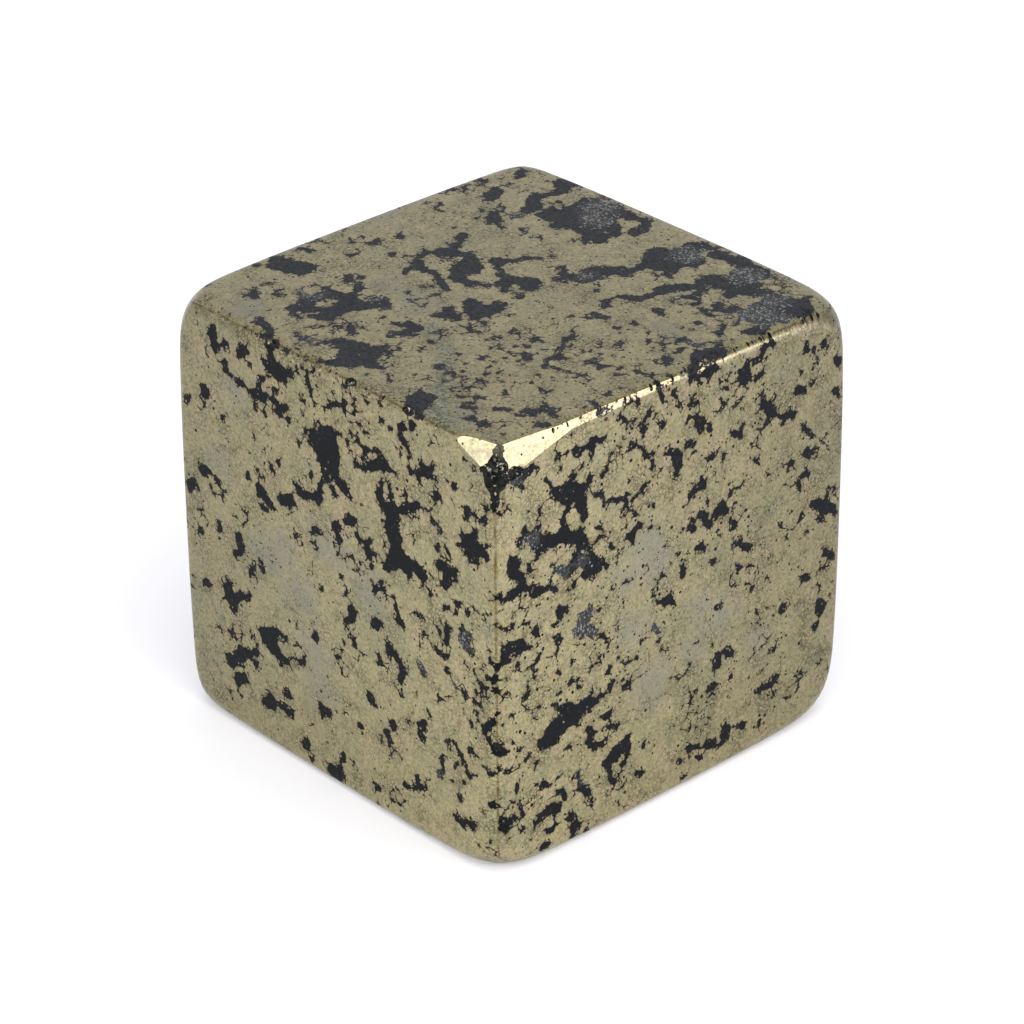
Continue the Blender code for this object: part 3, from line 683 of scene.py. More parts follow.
TOP_MARKS = FaceMarks(
    Side.TOP,
    black=chains("""
-6.5 9.3 .6, -6.2 8.6 .4, -6.1 7.9 .35, -6.3 7.3 .4, -5.9 6.9 .4, -5.5 6.5 .45, -5.6 5.9 .2; -4.2 8.7 .6,
-3 8.7 .8, -2.2 8.9 .5, -1.2 9.1 .3, -.9 8.5 .3, -.8 7.9 .35; -4 7.6 .8, -3 7.6 .9, -2 7.7 .5, -1.4 7.2 .4;
-4.5 6.7 .8, -3.5 6.6 .6, -2.4 6.8 .7, -1.6 6.6 .5, -1.1 6.2 .3; -3.6 6 .4; -1.8 6.1 .3, -1.65 5.7 .3,
-1.8 5.4 .2; -5.4 5.6 .25, -5.5 5 .2; -8 6.4 .4, -7.7 6 .45, -7.5 5.6 .25; -8.8 8.6 .4, -8.4 8.2 .2;
-6.2 4.7 .35, -5.9 4.4 .45, -5.5 4.3 .3, -5 4.2 .15; -4.3 4.7 .2, -3.9 4.4 .15; -5.6 2.4 .2, -5.3 1.9 .25,
-5 1.4 .3, -4.7 1.1 .35; -6.4 2.6 .15; -7.6 .5 .2, -7.2 .25 .25; -5 .6 .5, -4.4 .9 .5, -3.8 1.2 .4,
-3.4 .8 .6, -3 .3 .6, -2.6 .2 .4; -5.3 .2 .3, -5.2 -.3 .2, -4.9 -.7 .25, -4.6 -1.1 .3, -4.7 -1.5 .25,
-4.4 -1.9 .15; -2.8 1.7 .3, -2.4 1.7 .4, -2.3 1.3 .25, -1.9 1.2 .25, -1.6 .9 .3, -1 .9 .4, -.4 1.2 .45,
-.2 1.5 .3; -2.2 2.2 .2, -2 2.8 .2, -1.8 3.1 .25, -1.6 3.3 .15; -1 .5 .35, -.6 .3 .3, -.3 .1 .2; -.4 3.3 .2,
0 3 .3; -1.3 3.8 .12; 2.2 8.9 .6, 2.2 8.2 .7, 2.2 7.5 .8, 2.2 6.8 .8, 2.2 6.3 .55, 1.9 5.9 .4, 1.9 5.4 .3,
1.9 5 .4, 1.5 4.6 .45, 1.1 4.2 .45, 1 3.7 .6, 1.1 3.2 .5, .6 2.9 .4, .3 2.4 .25; 1.2 7.4 .4, 1.2 7 .35,
1.6 6.5 .35; 2.9 7.9 .5, 3.2 7.3 .3, 2.9 6.6 .4, 3.1 6 .25, 3.6 5.9 .15; 3.2 8.9 .5, 4.2 9.1 .5, 5.2 9 .55,
6 9 .4, 5.7 8.3 .6, 5.2 8 .5, 6.2 7.8 .6, 5.4 7.4 .5, 4.8 7.4 .3, 4.5 7 .3, 5 6.8 .4, 5.9 7.1 .5,
6.6 7.3 .5, 7.4 7.6 .45, 8.2 7.8 .5, 8.8 8.2 .35, 8.8 8.8 .2; 9.4 7.7 .5, 9.3 7 .5, 8.6 7.2 .5, 7.8 7.1 .4;
8 6.4 .5, 8.8 6.4 .5, 9.5 6.5 .4; 8.2 5.7 .5, 9.3 5.8 .4, 9.4 5 .4, 9.2 4.6 .3; 4.6 6.5 .3, 4.9 6 .3,
4.5 5.6 .35, 4.2 5.2 .4, 4.1 4.7 .4, 4.2 4.3 .25, 4.1 3.8 .25, 4 3.4 .3, 3.7 3.2 .15; 5.3 5.9 .35,
5.5 5.3 .35, 5.2 5 .2; 6.3 6.6 .3, 6.5 6 .25, 6.7 5.5 .35, 6.9 5.2 .3, 7.3 5.3 .3, 7.6 5.7 .4; 6 4.9 .2,
6.5 4.7 .15, 7 4.5 .15, 7.4 4.8 .1; 3.3 2.3 .25, 3.6 2 .2, 3.8 2.5 .12; 2.3 2.8 .12; 3.8 1.2 .2, 4.1 1.1 .3,
4.3 1.3 .2, 4 .8 .2; 3.3 .4 .14; 2.3 .4 .14; 5.4 3.3 .3, 5.7 3.2 .2; 6.1 3.9 .12; 7.3 3.7 .2; 6.6 4.2 .12;
8.1 4.3 .1, 8.4 3.8 .15, 8.7 3.5 .15, 9 3.3 .12, 9.3 3 .2, 9.6 2.6 .4, 9.6 2.1 .5, 9.4 1.7 .4, 9.8 1.3 .35,
9.9 .8 .3; 8.9 2.4 .25, 8.4 2.2 .25, 7.9 2.2 .2, 8 1.9 .2, 8.5 1.6 .2, 8.65 1.2 .15; 7.1 2.8 .12; 8.6 .6 .2,
8.9 .4 .3, 9.1 .2 .2; 8.6 .1 .25, 8.8 0 .2; 5.4 1.1 .2, 5.3 1 .1; 7 1.2 .12, 7.2 1 .1; 7.8 .5 .12,
7.6 .7 .06; 5.6 1.8 .12, 5.7 1.6 .12, 5.4 1.9 .1; 7.1 1.6 .1; 7.6 1.4 .1; 6.5 1.6 .08; 8.1 1 .06;
6.5 .1 .12, 6.3 .3 .08; 5.6 .2 .1; .3 .2 .2, .6 .1 .2; 0 1.3 .4, .1 .9 .35; -7.9 -.6 .2, -7.6 -.8 .3;
-6.4 -1 .15, -6.2 -1.2 .2; -7.6 -1.8 .12, -7.4 -2.3 .3; -8.6 -3.3 .2, -9.2 -3.4 .25; -4.3 -1 .2,
-3.9 -1 .25, -3.4 -1.1 .3, -2.9 -1.3 .15, -2.4 -1.6 .2, -2.1 -1.8 .2; -3.2 -.1 .5, -2.8 -.4 .4, -2.4 -.7 .4,
-2 -.6 .3, -1.5 -.4 .3, -1.2 -.1 .2; -.5 -1.8 .35, -.1 -2 .5; -.6 -2.8 .3, -.3 -3.1 .35, -.5 -3.5 .3,
-.7 -3.8 .15; -5 -3.9 .15, -4.8 -4.2 .3, -4.6 -4.6 .25, -4.4 -5 .35, -4.6 -5.4 .5, -5.2 -5.4 .4,
-5.6 -5.3 .3; -5.4 -6 .4, -5.1 -6.6 .45, -4.6 -7 .5, -5 -7.4 .4, -5.2 -7.2 .3; -5.5 -4.2 .25, -5.8 -3.8 .2;
-5.4 -3.5 .2; -3.9 -5.4 .6, -3.4 -5.3 .5, -3.2 -4.9 .4, -2.8 -4.6 .35; -2.6 -4.7 .2, -3.6 -4.4 .35,
-3.1 -4.2 .25; -4 -6.1 .5, -3.7 -6.6 .45, -3.7 -7.1 .45, -4 -7.3 .3; -3.4 -6 .35; -6.2 -6.1 .25,
-5.7 -6.3 .3; -8.1 -4.5 .3, -7.7 -4.3 .35, -7.6 -4.9 .45, -8.2 -5 .55, -8.8 -4.8 .45, -8.6 -5.4 .4,
-9.2 -4.9 .4; -9.4 -5.8 .25; -7.3 -7.6 .35, -7 -7.9 .3, -7.8 -7.8 .2, -7.6 -8.1 .2; -4.3 -7.8 .15,
-4.6 -7.9 .1; -5.2 -9.2 .25, -4.7 -9.3 .3, -4.2 -9.4 .25, -3.9 -9.8 .2; -3.2 -8.8 .15, -2.7 -9 .2;
-2.6 -7.4 .2, -2.5 -7.6 .15; -1.9 -7 .2, -1.7 -7.1 .25, -2.1 -6.9 .1; -2.5 -8.4 .15; -2.3 -8.8 .3,
-2 -8.9 .25, -1.7 -8.3 .3, -1.3 -7.9 .3, -.7 -7.7 .3, -.2 -7.6 .4, -.5 -8.2 .5, -1 -8.2 .3; -.2 -8.6 .5,
-.1 -9.2 .4, -.3 -9.5 .3, -.8 -9.8 .15; -1.1 -5.3 .15, -.8 -5.2 .3, -.7 -4.9 .25, -.3 -5.2 .4, -.1 -5.6 .35,
-.6 -5.9 .2, -.4 -6.2 .25; -1.9 -5.3 .1; -2.6 -6.5 .12; -2 -3.2 .1; -2.5 -9.5 .1, -2.2 -9.7 .1;
-9.4 -8.6 .2; .4 -.9 .35, .7 -1.3 .4, .5 -1.8 .6, .6 -2.3 .5, .8 -2.6 .3, .2 -2.3 .5; .1 -3 .25, .3 -3.2 .2;
1.3 -2.7 .2, 1.5 -2.9 .15; 1.5 -1.5 .14; 2.9 -6.5 .12, 3.1 -6.7 .18, 3.3 -6.8 .12; .1 -5.6 .25, .3 -5.3 .15;
1.1 -5.4 .12, 1.3 -5.5 .1; .2 -6.2 .12, .5 -6.5 .15, .8 -6.8 .12; .1 -7.4 .4, .4 -7.3 .35, .5 -7.7 .3,
.3 -8 .3, .6 -8.3 .4, 1 -8.5 .4, 1.4 -8.4 .25, 1.6 -8.3 .15; .9 -7.4 .1; .3 -8.7 .5, .3 -9.2 .4, .1 -9.5 .2;
1.2 -8 .12, 1.3 -8.1 .1; .95 -7.9 .1; 1.65 -8 .12; 1.6 -9.2 .1; 2.9 -7.8 .1; 3.5 -7.8 .1; 3.8 -7.7 .12;
2.1 -8.5 .04, 2.3 -8.7 .06, 2.6 -8.8 .04, 2.9 -9.1 .04; 4 -8.5 .06, 4.2 -8.7 .25, 4.7 -8.9 .45, 4.9 -9.3 .5,
5.2 -9.6 .4, 5.5 -9.9 .25; 4.6 -9.5 .3, 4.3 -9.1 .25; 5.3 -7.8 .12, 5.7 -7.8 .12, 5.8 -7.6 .08; 6.2 -7.8 .2,
6.3 -8.2 .3, 6.7 -8 .2, 6.9 -8.2 .15; 7.2 -8.8 .25, 7.35 -8.5 .12; 7.7 -8.5 .12, 7.9 -8.8 .2, 8.2 -9 .15,
8.1 -8.7 .1; 7.3 -7.5 .1, 7.6 -7.1 .1, 7.9 -7 .08; 8.3 -7 .2, 8.2 -6.8 .2, 8.4 -6.4 .25, 8.6 -6.1 .2,
8.4 -5.8 .1, 8.2 -5.7 .06; 8.9 -5.9 .2, 9.1 -6.1 .2, 9.3 -6.1 .15, 9 -5.7 .1; 9.6 -6.8 .15, 9.4 -7.1 .2,
9.6 -7.2 .15; 4.1 -.3 .1, 4.3 -.6 .15, 4.5 -.7 .12, 4.7 -.9 .2, 4.6 -1.2 .15, 4.9 -1.5 .1, 5.1 -1.8 .15,
5.2 -2.2 .2, 5.5 -2.4 .2, 5.7 -2.5 .2, 5.9 -2.5 .15, 5.7 -2.8 .08; 4.9 -1 .12; 5.9 -2.2 .12; 5.3 -1.5 .15,
5.4 -1.6 .1; 5.85 -1.8 .1; 6 -1.5 .12; 6 -3.6 .1, 5.8 -3.4 .12, 5.6 -3.2 .1, 5.4 -3 .06; 6.2 -3.3 .1,
6.5 -3.2 .12, 6.9 -3.1 .1; 6.35 -3.85 .12; 4 -2.8 .15, 4.2 -2.85 .15; 4.4 -2.5 .12, 4.3 -2.4 .1;
4.1 -2.1 .12; 3.4 -2.3 .15, 3.6 -2.2 .15, 3.8 -2 .1; 4.8 -2.5 .12; 4.5 -3.3 .15, 4.8 -3.4 .3, 5 -3.6 .2,
4.8 -3.9 .15; 4.3 -3.8 .2, 4.1 -3.7 .1; 3.8 -3.2 .15, 3.6 -3.1 .08; 2.7 -3.2 .15, 2.6 -3.5 .2, 2.5 -3.2 .1,
2.9 -3.1 .1; 3.2 -3.6 .1; 3.2 -4 .12; 3.6 -3.8 .08; 3.6 -4.9 .18, 3.8 -4.6 .1; 4.3 -4.2 .1, 4.5 -4.3 .08;
4.3 -4.7 .06; 4.4 -5.2 .08, 4.4 -5.4 .1, 4.7 -5.7 .15; 5 -5.2 .1; 5.4 -5.7 .08; 5.75 -5.7 .1; 2.7 -5.3 .1;
3.2 -5.5 .08; 3.05 -5.7 .1; 3.6 -5.6 .06; 6.2 -5.4 .08, 6.2 -5.7 .08; 6.3 -4.2 .08, 6.35 -4.3 .08;
6.8 -4.5 .1; 6.5 -4.9 .1; 7.2 -5 .12, 7.4 -5.05 .12, 7.5 -5 .08; 7.9 -5 .08; 7.6 -4.8 .07; 7.1 -4.1 .06;
6.4 -6.1 .08, 6.7 -6.3 .12; 6 -6 .05; 4 -6.2 .15, 4.2 -6.5 .15, 4.5 -6.7 .1, 4.7 -6.9 .1; 7 -1.5 .15,
7.1 -1.9 .25, 7.4 -1.9 .25, 7.7 -1.7 .15; 6.9 -2.2 .1; 7.9 -1.2 .15, 8.1 -1.5 .1; 8.4 -1.9 .15, 8.6 -1.7 .1;
8.6 -1.1 .15, 8.9 -1.2 .2, 9.1 -1.1 .2, 9.3 -.9 .15, 9.4 -1.1 .1; 8.4 -.8 .12, 8.2 -.6 .1; 7.1 -.6 .15,
7.1 -.9 .15; 6 -.3 .12, 5.9 -.6 .1; 6.5 -.1 .12, 6.8 -.3 .1; 7.7 -2.9 .12, 7.6 -2.8 .1; 7.4 -3.1 .08;
9.3 -2.7 .1, 9.3 -3.1 .15, 9.35 -3.5 .12, 9.6 -3.2 .08; 9.5 -4.2 .18, 9.8 -4.3 .2, 9.9 -4.6 .1; 9.6 -4.8 .1;
9.6 -.5 .1, 9.9 -.3 .1; 9.95 -1.3 .12; 8.8 -3.5 .1
    """),
    islets=chains("""
-1.5 8.3 .35; -5.2 8.2 .4; 4.1 8 .4, 4 7.6 .35; 3.5 6.9 .25, 3.7 6.5 .4, 4 6.1 .2; 6.8 6 .3, 7.2 6.5 .3;
5.8 6.3 .2; 7 8.7 .45, 7.7 8.6 .45, 8.2 8.7 .3; 9.6 8.6 .3; 8.3 1.7 .12; -4.6 -6.2 .3; -1.5 -8.8 .25,
-1.3 -9.1 .5, -1 -9.4 .35
    """),
    films={
        Film.GREY: chains("""
-5.4 5.6 .25, -5.5 5 .2; 8 6.4 .5, 8.8 6.4 .5, 9.5 6.5 .4; 8.2 5.7 .5, 9.3 5.8 .4; 8.9 2.4 .25, 8.4 2.2 .25;
-5.4 -6 .4; -3.6 -4.4 .35; -6.2 -6.1 .25, -5.7 -6.3 .3; -2.3 -8.8 .3; -.6 -5.9 .2; 8.4 -.8 .12; -3.6 8.6 .9;
-2.8 7.6 .7; 2.4 8 .8; 5.6 8.3 .8; 8 7.5 .7; 8.6 6.4 .6; 1 3.5 .4
        """),
        Film.BLUISH: chains("""
4.9 5.4 .25; 6.7 2.5 .4, 7.2 2.3 .35; -2.5 -3.4 .6, -1.5 -3.4 .6; -6.8 -8.4 .5, -6.4 -9 .6; 6.5 -8.6 .35,
7 -9 .35; -4.4 -2.9 .3, -3.8 -3.5 .35
        """),
        Film.GREEN: chains("""
-4.3 4.7 .2, -3.9 4.4 .15; -6.4 2.6 .15; -1.3 3.8 .12; 2.3 2.8 .12; 1.3 -2.7 .2, 1.5 -2.9 .15; 2.9 -6.5 .12,
3.1 -6.7 .18, 3.3 -6.8 .12; 1.6 -9.2 .1; 0 -4.4 .35, .8 -4.8 .35, 1.5 -5.1 .3, 2.3 -5.5 .3, 2.8 -5.9 .3,
3.2 -6.4 .35, 3.7 -7 .35, 4.4 -7.5 .4, 4.9 -8.2 .4, 5.4 -8.8 .4, 6 -9.3 .4, 6.8 -9.7 .4
        """),
        Film.RUST: chains("""
5.85 .9 .15; -1.4 -4.4 .25; 8.5 -8.3 .2; 6.85 -7.1 .12, 6.7 -7.4 .06; 3.6 -4.9 .25; 4.6 -5.6 .4;
5.4 -5.6 .3; 5 -5.2 .25; 4.9 -6.2 .2; 9.6 -4.8 .2
        """),
    },
)


@dataclass(frozen=True)
class Noise:
    """A smooth random field: lumps in a millimetre, how many times finer ones are added, and how strongly."""

    scale: float
    detail: float = 2.0
    roughness: float = 0.5


@dataclass(frozen=True)
class Step:
    """A smooth step: the result goes from start to end while a value goes from low to high."""

    low: float
    high: float
    start: float = 0.0
    end: float = 1.0


class Graph:
    """A new material's node tree, with short calls for the nodes that the finishes are made of."""

    def __init__(self, name: str) -> None:
        """Makes the material, with the one shader that it ends in.

        Args:
            name: The material's name.
        """
        self.material = bpy.data.materials.new(name)
        self.material.use_nodes = True
        self.nodes = self.material.node_tree.nodes
        self.links = self.material.node_tree.links
        self.shader = self.nodes["Principled BSDF"]
        self.place = self.scaled(self.new("TexCoord").outputs["Object"], 1.0 / MM)

    def new(self, kind: str, **settings: str) -> Node:
        """A new node with its settings.

        Args:
            kind: What Blender calls the node, after ShaderNode.
            settings: Its settings, by their names.

        Returns:
            The node.
        """
        node = self.nodes.new(f"ShaderNode{kind}")
        for name, setting in settings.items():
            setattr(node, name, setting)
        return node

    def plugged(self, node: Node, values: dict[int | str, Input]) -> Node:
        """A node with inputs linked or set.

        Args:
            node: The node.
            values: A socket, number, colour or place for each input, by the input's number or name.

        Returns:
            The same node.
        """
        for key, value in values.items():
            socket = node.inputs[key]
            if isinstance(value, bpy.types.NodeSocket):
                self.links.new(value, socket)
            elif isinstance(value, tuple) and len(socket.default_value) == 4:
                socket.default_value = (*value, 1.0)
            else:
                socket.default_value = value
        return node

    def math(self, operation: str, *values: Value) -> Socket:
        """The result of a Math node, whose operation is named as Blender names it."""
        return self.plugged(self.new("Math", operation=operation), dict(enumerate(values))).outputs[0]

    def plus(self, first: Value, second: Value) -> Socket:
        """The sum of two numbers."""
        return self.math("ADD", first, second)

    def minus(self, first: Value, second: Value) -> Socket:
        """One number less another."""
        return self.math("SUBTRACT", first, second)

    def times(self, first: Value, second: Value, *added: Value) -> Socket:
        """The product of two numbers, with a third one added if it is given."""
        return self.math("MULTIPLY_ADD" if added else "MULTIPLY", first, second, *added)

    def greater(self, first: Value, second: Value) -> Socket:
        """The greater of two numbers."""
        return self.math("MAXIMUM", first, second)

    def vector(self, operation: str, *values: Triple) -> Node:
        """A Vector Math node, whose operation is named as Blender names it."""
        return self.plugged(self.new("VectorMath", operation=operation), dict(enumerate(values)))

    def scaled(self, vector: Socket, factor: Value) -> Socket:
        """A vector or colour times a number."""
        return self.plugged(self.vector("SCALE", vector), {"Scale": factor}).outputs[0]

    def lumps(self, form: Noise) -> Node:
        """A Noise node of that form."""
        inputs = {"Scale": form.scale, "Detail": form.detail, "Roughness": form.roughness}
        return self.plugged(self.new("TexNoise"), {"Vector": self.place, **inputs})

    def noise(self, form: Noise) -> Socket:
        """A smooth random value about 0, from -0.5 to 0.5."""
        return self.minus(self.lumps(form).outputs["Fac"], 0.5)

    def warped(self, scale: float, reach: float) -> Socket:
        """The place on the stone, moved about smoothly.

        Args:
            scale: How many lumps the moves have in a millimetre.
            reach: How far they go, in millimetres.

        Returns:
            The moved place.
        """
        moves = self.lumps(Noise(scale)).outputs["Color"]
        return self.vector("MULTIPLY_ADD", moves, (2.0 * reach,) * 3, self.place).outputs[0]

    def cells(self, scale: float, feature: str = "F1", place: Socket | None = None) -> Node:
        """A Voronoi node with so many cells in a millimetre, looked up at the stone's place or at another."""
        node = self.new("TexVoronoi", feature=feature)
        return self.plugged(node, {"Vector": place or self.place, "Scale": scale})

    def channels(self, colour: Socket) -> tuple[Socket, Socket, Socket]:
        """The three numbers of a colour or a place."""
        return tuple(self.plugged(self.new("SeparateColor"), {0: colour}).outputs[:3])

    def step(self, value: Socket, step: Step) -> Socket:
        """A smooth step of a value."""
        inputs = dict(enumerate((value, step.low, step.high, step.start, step.end)))
        return self.plugged(self.new("MapRange", interpolation_type="SMOOTHSTEP"), inputs).outputs[0]

    def mix(self, share: Value, first: Triple, second: Triple) -> Socket:
        """A colour between two, by a share of the second."""
        return self.plugged(self.new("Mix", data_type="RGBA"), {0: share, 6: first, 7: second}).outputs[2]

    def blend(self, share: Value, first: Value, second: Value) -> Socket:
        """A number between two, by a share of the second."""
        return self.plugged(self.new("Mix"), {0: share, 2: first, 3: second}).outputs[0]

    def bump(self, strength: float, height: float, relief: Socket) -> Socket:
        """The way the surface faces under a relief, whose height of 1 is so many millimetres."""
        inputs = {"Strength": strength, "Distance": height * MM, "Height": relief}
        return self.plugged(self.new("Bump"), inputs).outputs[0]

    def stored(self, name: str) -> Socket:
        """A number that the mesh stores at its points."""
        return self.new("Attribute", attribute_name=name).outputs["Fac"]


@dataclass(frozen=True)
class Lobes:
    """Round lobes of pyrite that bite into the black, with thin black seams between them.

    Attributes:
        scale: How many lobes there are in a millimetre.
        bend: How far they are bent, in millimetres.
        cut: How much depth they take for each millimetre inside their radius.
        radius: How far from its middle a lobe takes none, in millimetres.
        seam: How much depth a seam adds, in millimetres.
    """

    scale: float
    bend: float
    cut: float
    radius: float
    seam: float


@dataclass(frozen=True)
class Grains:
    """Round-edged grains scattered by chance.

    Attributes:
        scale: How many places for a grain there are in a millimetre.
        radius: The greatest half width of a grain, in millimetres.
        edge_lumps: What makes their edges uneven.
        edge_shift: How far it moves them, in millimetres.
        least: The least half width, as a share of the greatest.
        blur: Half the width of their edge, in millimetres.
    """

    scale: float
    radius: float
    edge_lumps: Noise = Noise(9.0)
    edge_shift: float = 0.09
    least: float = 0.4
    blur: float = 0.0075

    def share(self, graph: Graph, chance: Value) -> Socket:
        """The share of a grain at each point.

        Args:
            graph: The node tree.
            chance: The share of the places that hold a grain.

        Returns:
            1 inside a grain and 0 outside.
        """
        cells = graph.cells(self.scale)
        first, second, _ = graph.channels(cells.outputs["Color"])
        present = graph.math("LESS_THAN", first, chance)
        away = graph.times(cells.outputs["Distance"], 1.0 / self.scale)
        away = graph.times(graph.noise(self.edge_lumps), self.edge_shift, away)
        least = self.radius * self.least
        reach = graph.times(second, self.radius - least, least)
        inside = graph.step(graph.minus(reach, away), Step(-self.blur, self.blur))
        return graph.times(inside, present)


@dataclass(frozen=True)
class BrokenFilm:
    """How a stored film shows: broken up by noise.

    Attributes:
        film: The film.
        most: Its share where it is thickest.
        breaking: How strongly the fine lumps break it up.
        clouding: How strongly the clouds do.
    """

    film: Film
    most: float
    breaking: float
    clouding: float = 0.9
    clouds: Noise = Noise(1.1)
    fine_lumps: Noise = Noise(5.0, 6.0, 0.75)
    edge: tuple[float, float] = (0.28, 0.72)

    def share(self, graph: Graph) -> Socket:
        """The share of the film at each point.

        Args:
            graph: The node tree.

        Returns:
            The share, from 0 to its most.
        """
        stored = graph.stored(self.film.value)
        clouded = graph.times(graph.noise(self.clouds), self.clouding, stored)
        broken = graph.times(graph.noise(self.fine_lumps), self.breaking, clouded)
        return graph.step(broken, Step(*self.edge, 0.0, self.most))


@dataclass(frozen=True)
class PyriteFinish:
    """Polished pyrite with black patches: the metal, the black mineral, the films and the fine grain.

    Lengths and depths are in millimetres. The pairs shrink and fray are for the sides and the weathered top.
    """

    # The metal: its colours, where each of them lies, and how light it is.
    pyrite: Colour = (0.305, 0.270, 0.144)
    pyrite_green: Colour = (0.262, 0.246, 0.134)
    pyrite_pink: Colour = (0.330, 0.274, 0.158)
    pyrite_warm: Colour = (0.350, 0.290, 0.138)
    green_clouds: Noise = Noise(0.45, 3.0, 0.55)
    green_share: Step = Step(-0.02, 0.16)
    pink_clouds: Noise = Noise(0.8)
    pink_share: Step = Step(0.0, 0.16, 0.0, 0.9)
    warm_top: float = 0.35
    lightness: float = 1.03
    pyrite_roughness: float = 0.30

    # The grain of the metal: sand, lobes with painted shade at their rims, mottling, and fine grains with
    # dark seams.
    sand_grains: float = 10.0
    sand_contrast: float = 0.44
    sand_base: float = 0.78
    # Painted shade: how much darker a lobe gets towards its rim, as if it were domed.
    lobe_contrast: float = 0.10
    lobe_rim_painted_shade: float = 0.16
    mottling: Noise = Noise(5.0, 4.0, 0.8)
    mottling_contrast: float = 1.25
    fine_grain: float = 5.6
    fine_grain_bend: float = 0.03
    fine_seams: Step = Step(0.02, 0.20, 1.0, 0.0)
    fine_zones: Noise = Noise(0.7, 4.0, 0.7)
    fine_darkness: Step = Step(-0.06, 0.14, 0.08, 0.62)
    fine_seams_off_facets: Step = Step(-1.2, -0.9)
    between_seams: float = 1.05

    # Painted light and shade on the sides: brighter along a direction, and a painted reflection of the floor
    # that brightens the lower end of the right face and darkens the lower left of the front. The top has one
    # painted level.
    painted_light_towards: tuple[float, float, float] = (1.0, -1.4, -0.2)
    polish: Step = Step(-8.0, 24.0, 0.71, 1.06)
    painted_low_sheen_and_shade: float = 0.00055
    top_painted_light: float = 1.03

    # The black mineral's colours and gloss.
    black: Colour = (0.005, 0.0058, 0.0068)
    black_grey: Colour = (0.026, 0.0285, 0.033)
    black_clouds: Noise = Noise(6.0, 4.0, 0.75)
    black_cloud_contrast: float = 2.2
    grey_share: Step = Step(0.05, 0.75)
    # Painted glare: how much paler grey the black is painted on the top face, which is seen at a low angle.
    painted_top_glare: float = 0.45
    black_roughness: float = 0.42
    gloss_level: float = 0.06
    uneven_gloss: Noise = Noise(6.0, 3.0)
    gloss_contrast: float = 0.12

    # Where the black lies: depth is added in zones of seams, cut back all over, bitten by lobes and frayed.
    top_level: float = 19.4
    top_fade: float = 0.15
    shrink: tuple[float, float] = (0.043, 0.070)
    lobes: tuple[Lobes, ...] = (
        Lobes(scale=2.1, bend=0.08, cut=0.55, radius=0.225, seam=0.122),
        Lobes(scale=5.2, bend=0.03, cut=0.45, radius=0.095, seam=0.065),
    )
    lobe_bends: float = 1.2
    seam_reach: float = 0.042
    seam_breaks: Noise = Noise(1.6, 2.0, 0.6)
    seam_strength: Step = Step(-0.06, 0.06, 0.15, 1.0)
    seam_zones: Noise = Noise(0.5, 3.0, 0.6)
    seam_depth: Step = Step(-0.05, 0.14, -0.40, -0.045)
    seam_depth_on_top: float = 0.05
    seam_depth_at_edges: Step = Step(0.2, 1.8, 0.028, 0.0)
    seam_depth_off_facets: Step = Step(-1.2, -0.85, -1.0, 0.0)
    fray: tuple[float, float] = (0.10, 0.34)
    fray_lumps: Noise = Noise(7.0, 4.0, 0.7)
    edge_blur: Step = Step(-0.015, 0.015)

    # Stray black grains and dust around the patches, and gleams of metal in them.
    strays: Grains = Grains(3.1, 0.09)
    stray_chance: Step = Step(-0.5, -0.03, 0.03, 0.22)
    dust: Grains = Grains(6.3, 0.055)
    dust_chance: Step = Step(-0.5, 0.0, 0.05, 0.20)
    dust_chance_on_top: float = 0.20
    gleams: Grains = Grains(4.3, 0.06)
    gleam_chance: Step = Step(0.02, 0.30, 0.20, 0.06)

    # Films, stains, brown rims, and a brown line along the edges that is partly painted shade.
    bluish: BrokenFilm = BrokenFilm(Film.BLUISH, 0.68, 6.5)
    bluish_film: Colour = (0.238, 0.236, 0.185)
    green: BrokenFilm = BrokenFilm(Film.GREEN, 0.95, 3.4)
    green_stains: tuple[Colour, Colour] = ((0.105, 0.100, 0.050), (0.345, 0.345, 0.245))
    green_lumps: Noise = Noise(7.0, 5.0, 0.85)
    green_contrast: Step = Step(-0.07, 0.09)
    grey: BrokenFilm = BrokenFilm(Film.GREY, 0.85, 4.5)
    grey_film: Colour = (0.034, 0.037, 0.040)
    frost_on_top: float = 0.18
    frost_lumps: Noise = Noise(8.0, 4.0, 0.8)
    frost_edge: Step = Step(0.0, 0.14)
    frost_paling: float = 0.6
    # Painted glints: light grey dots put into the black's colour where the grey film lies.
    painted_glint: Colour = (0.165, 0.175, 0.180)
    painted_glints: Grains = Grains(8.0, 0.07)
    painted_glint_chance: float = 0.75
    rust_stain: Colour = (0.075, 0.030, 0.012)
    rust: Grains = Grains(4.0, 0.115)
    rust_chance: float = 0.75
    stray_rust: float = 0.007
    rim_brown: Colour = (0.15, 0.122, 0.066)
    rim_reach: Step = Step(-0.10, -0.01, 0.0, 0.5)
    # The brown line along the edges: partly brown in the edge itself, partly painted shade of its rounding.
    edge_brown_and_shade: Colour = (0.12, 0.080, 0.032)
    edge_reach: Step = Step(0.03, 0.15, 1.0, 0.0)
    edge_breaks: Noise = Noise(2.6, 4.0, 0.75)
    edge_strength: Step = Step(-0.10, 0.10, 0.2, 0.9)

    # The faint relief of the polish: the softer black lies lower, and the grain shows.
    sunk_black: Step = Step(-0.12, 0.08, 0.0, -0.5)
    relief_lumps: Noise = Noise(5.0, 3.0, 0.6)
    relief_share: float = 0.6
    relief_strength: float = 0.35
    relief_height: float = 0.015

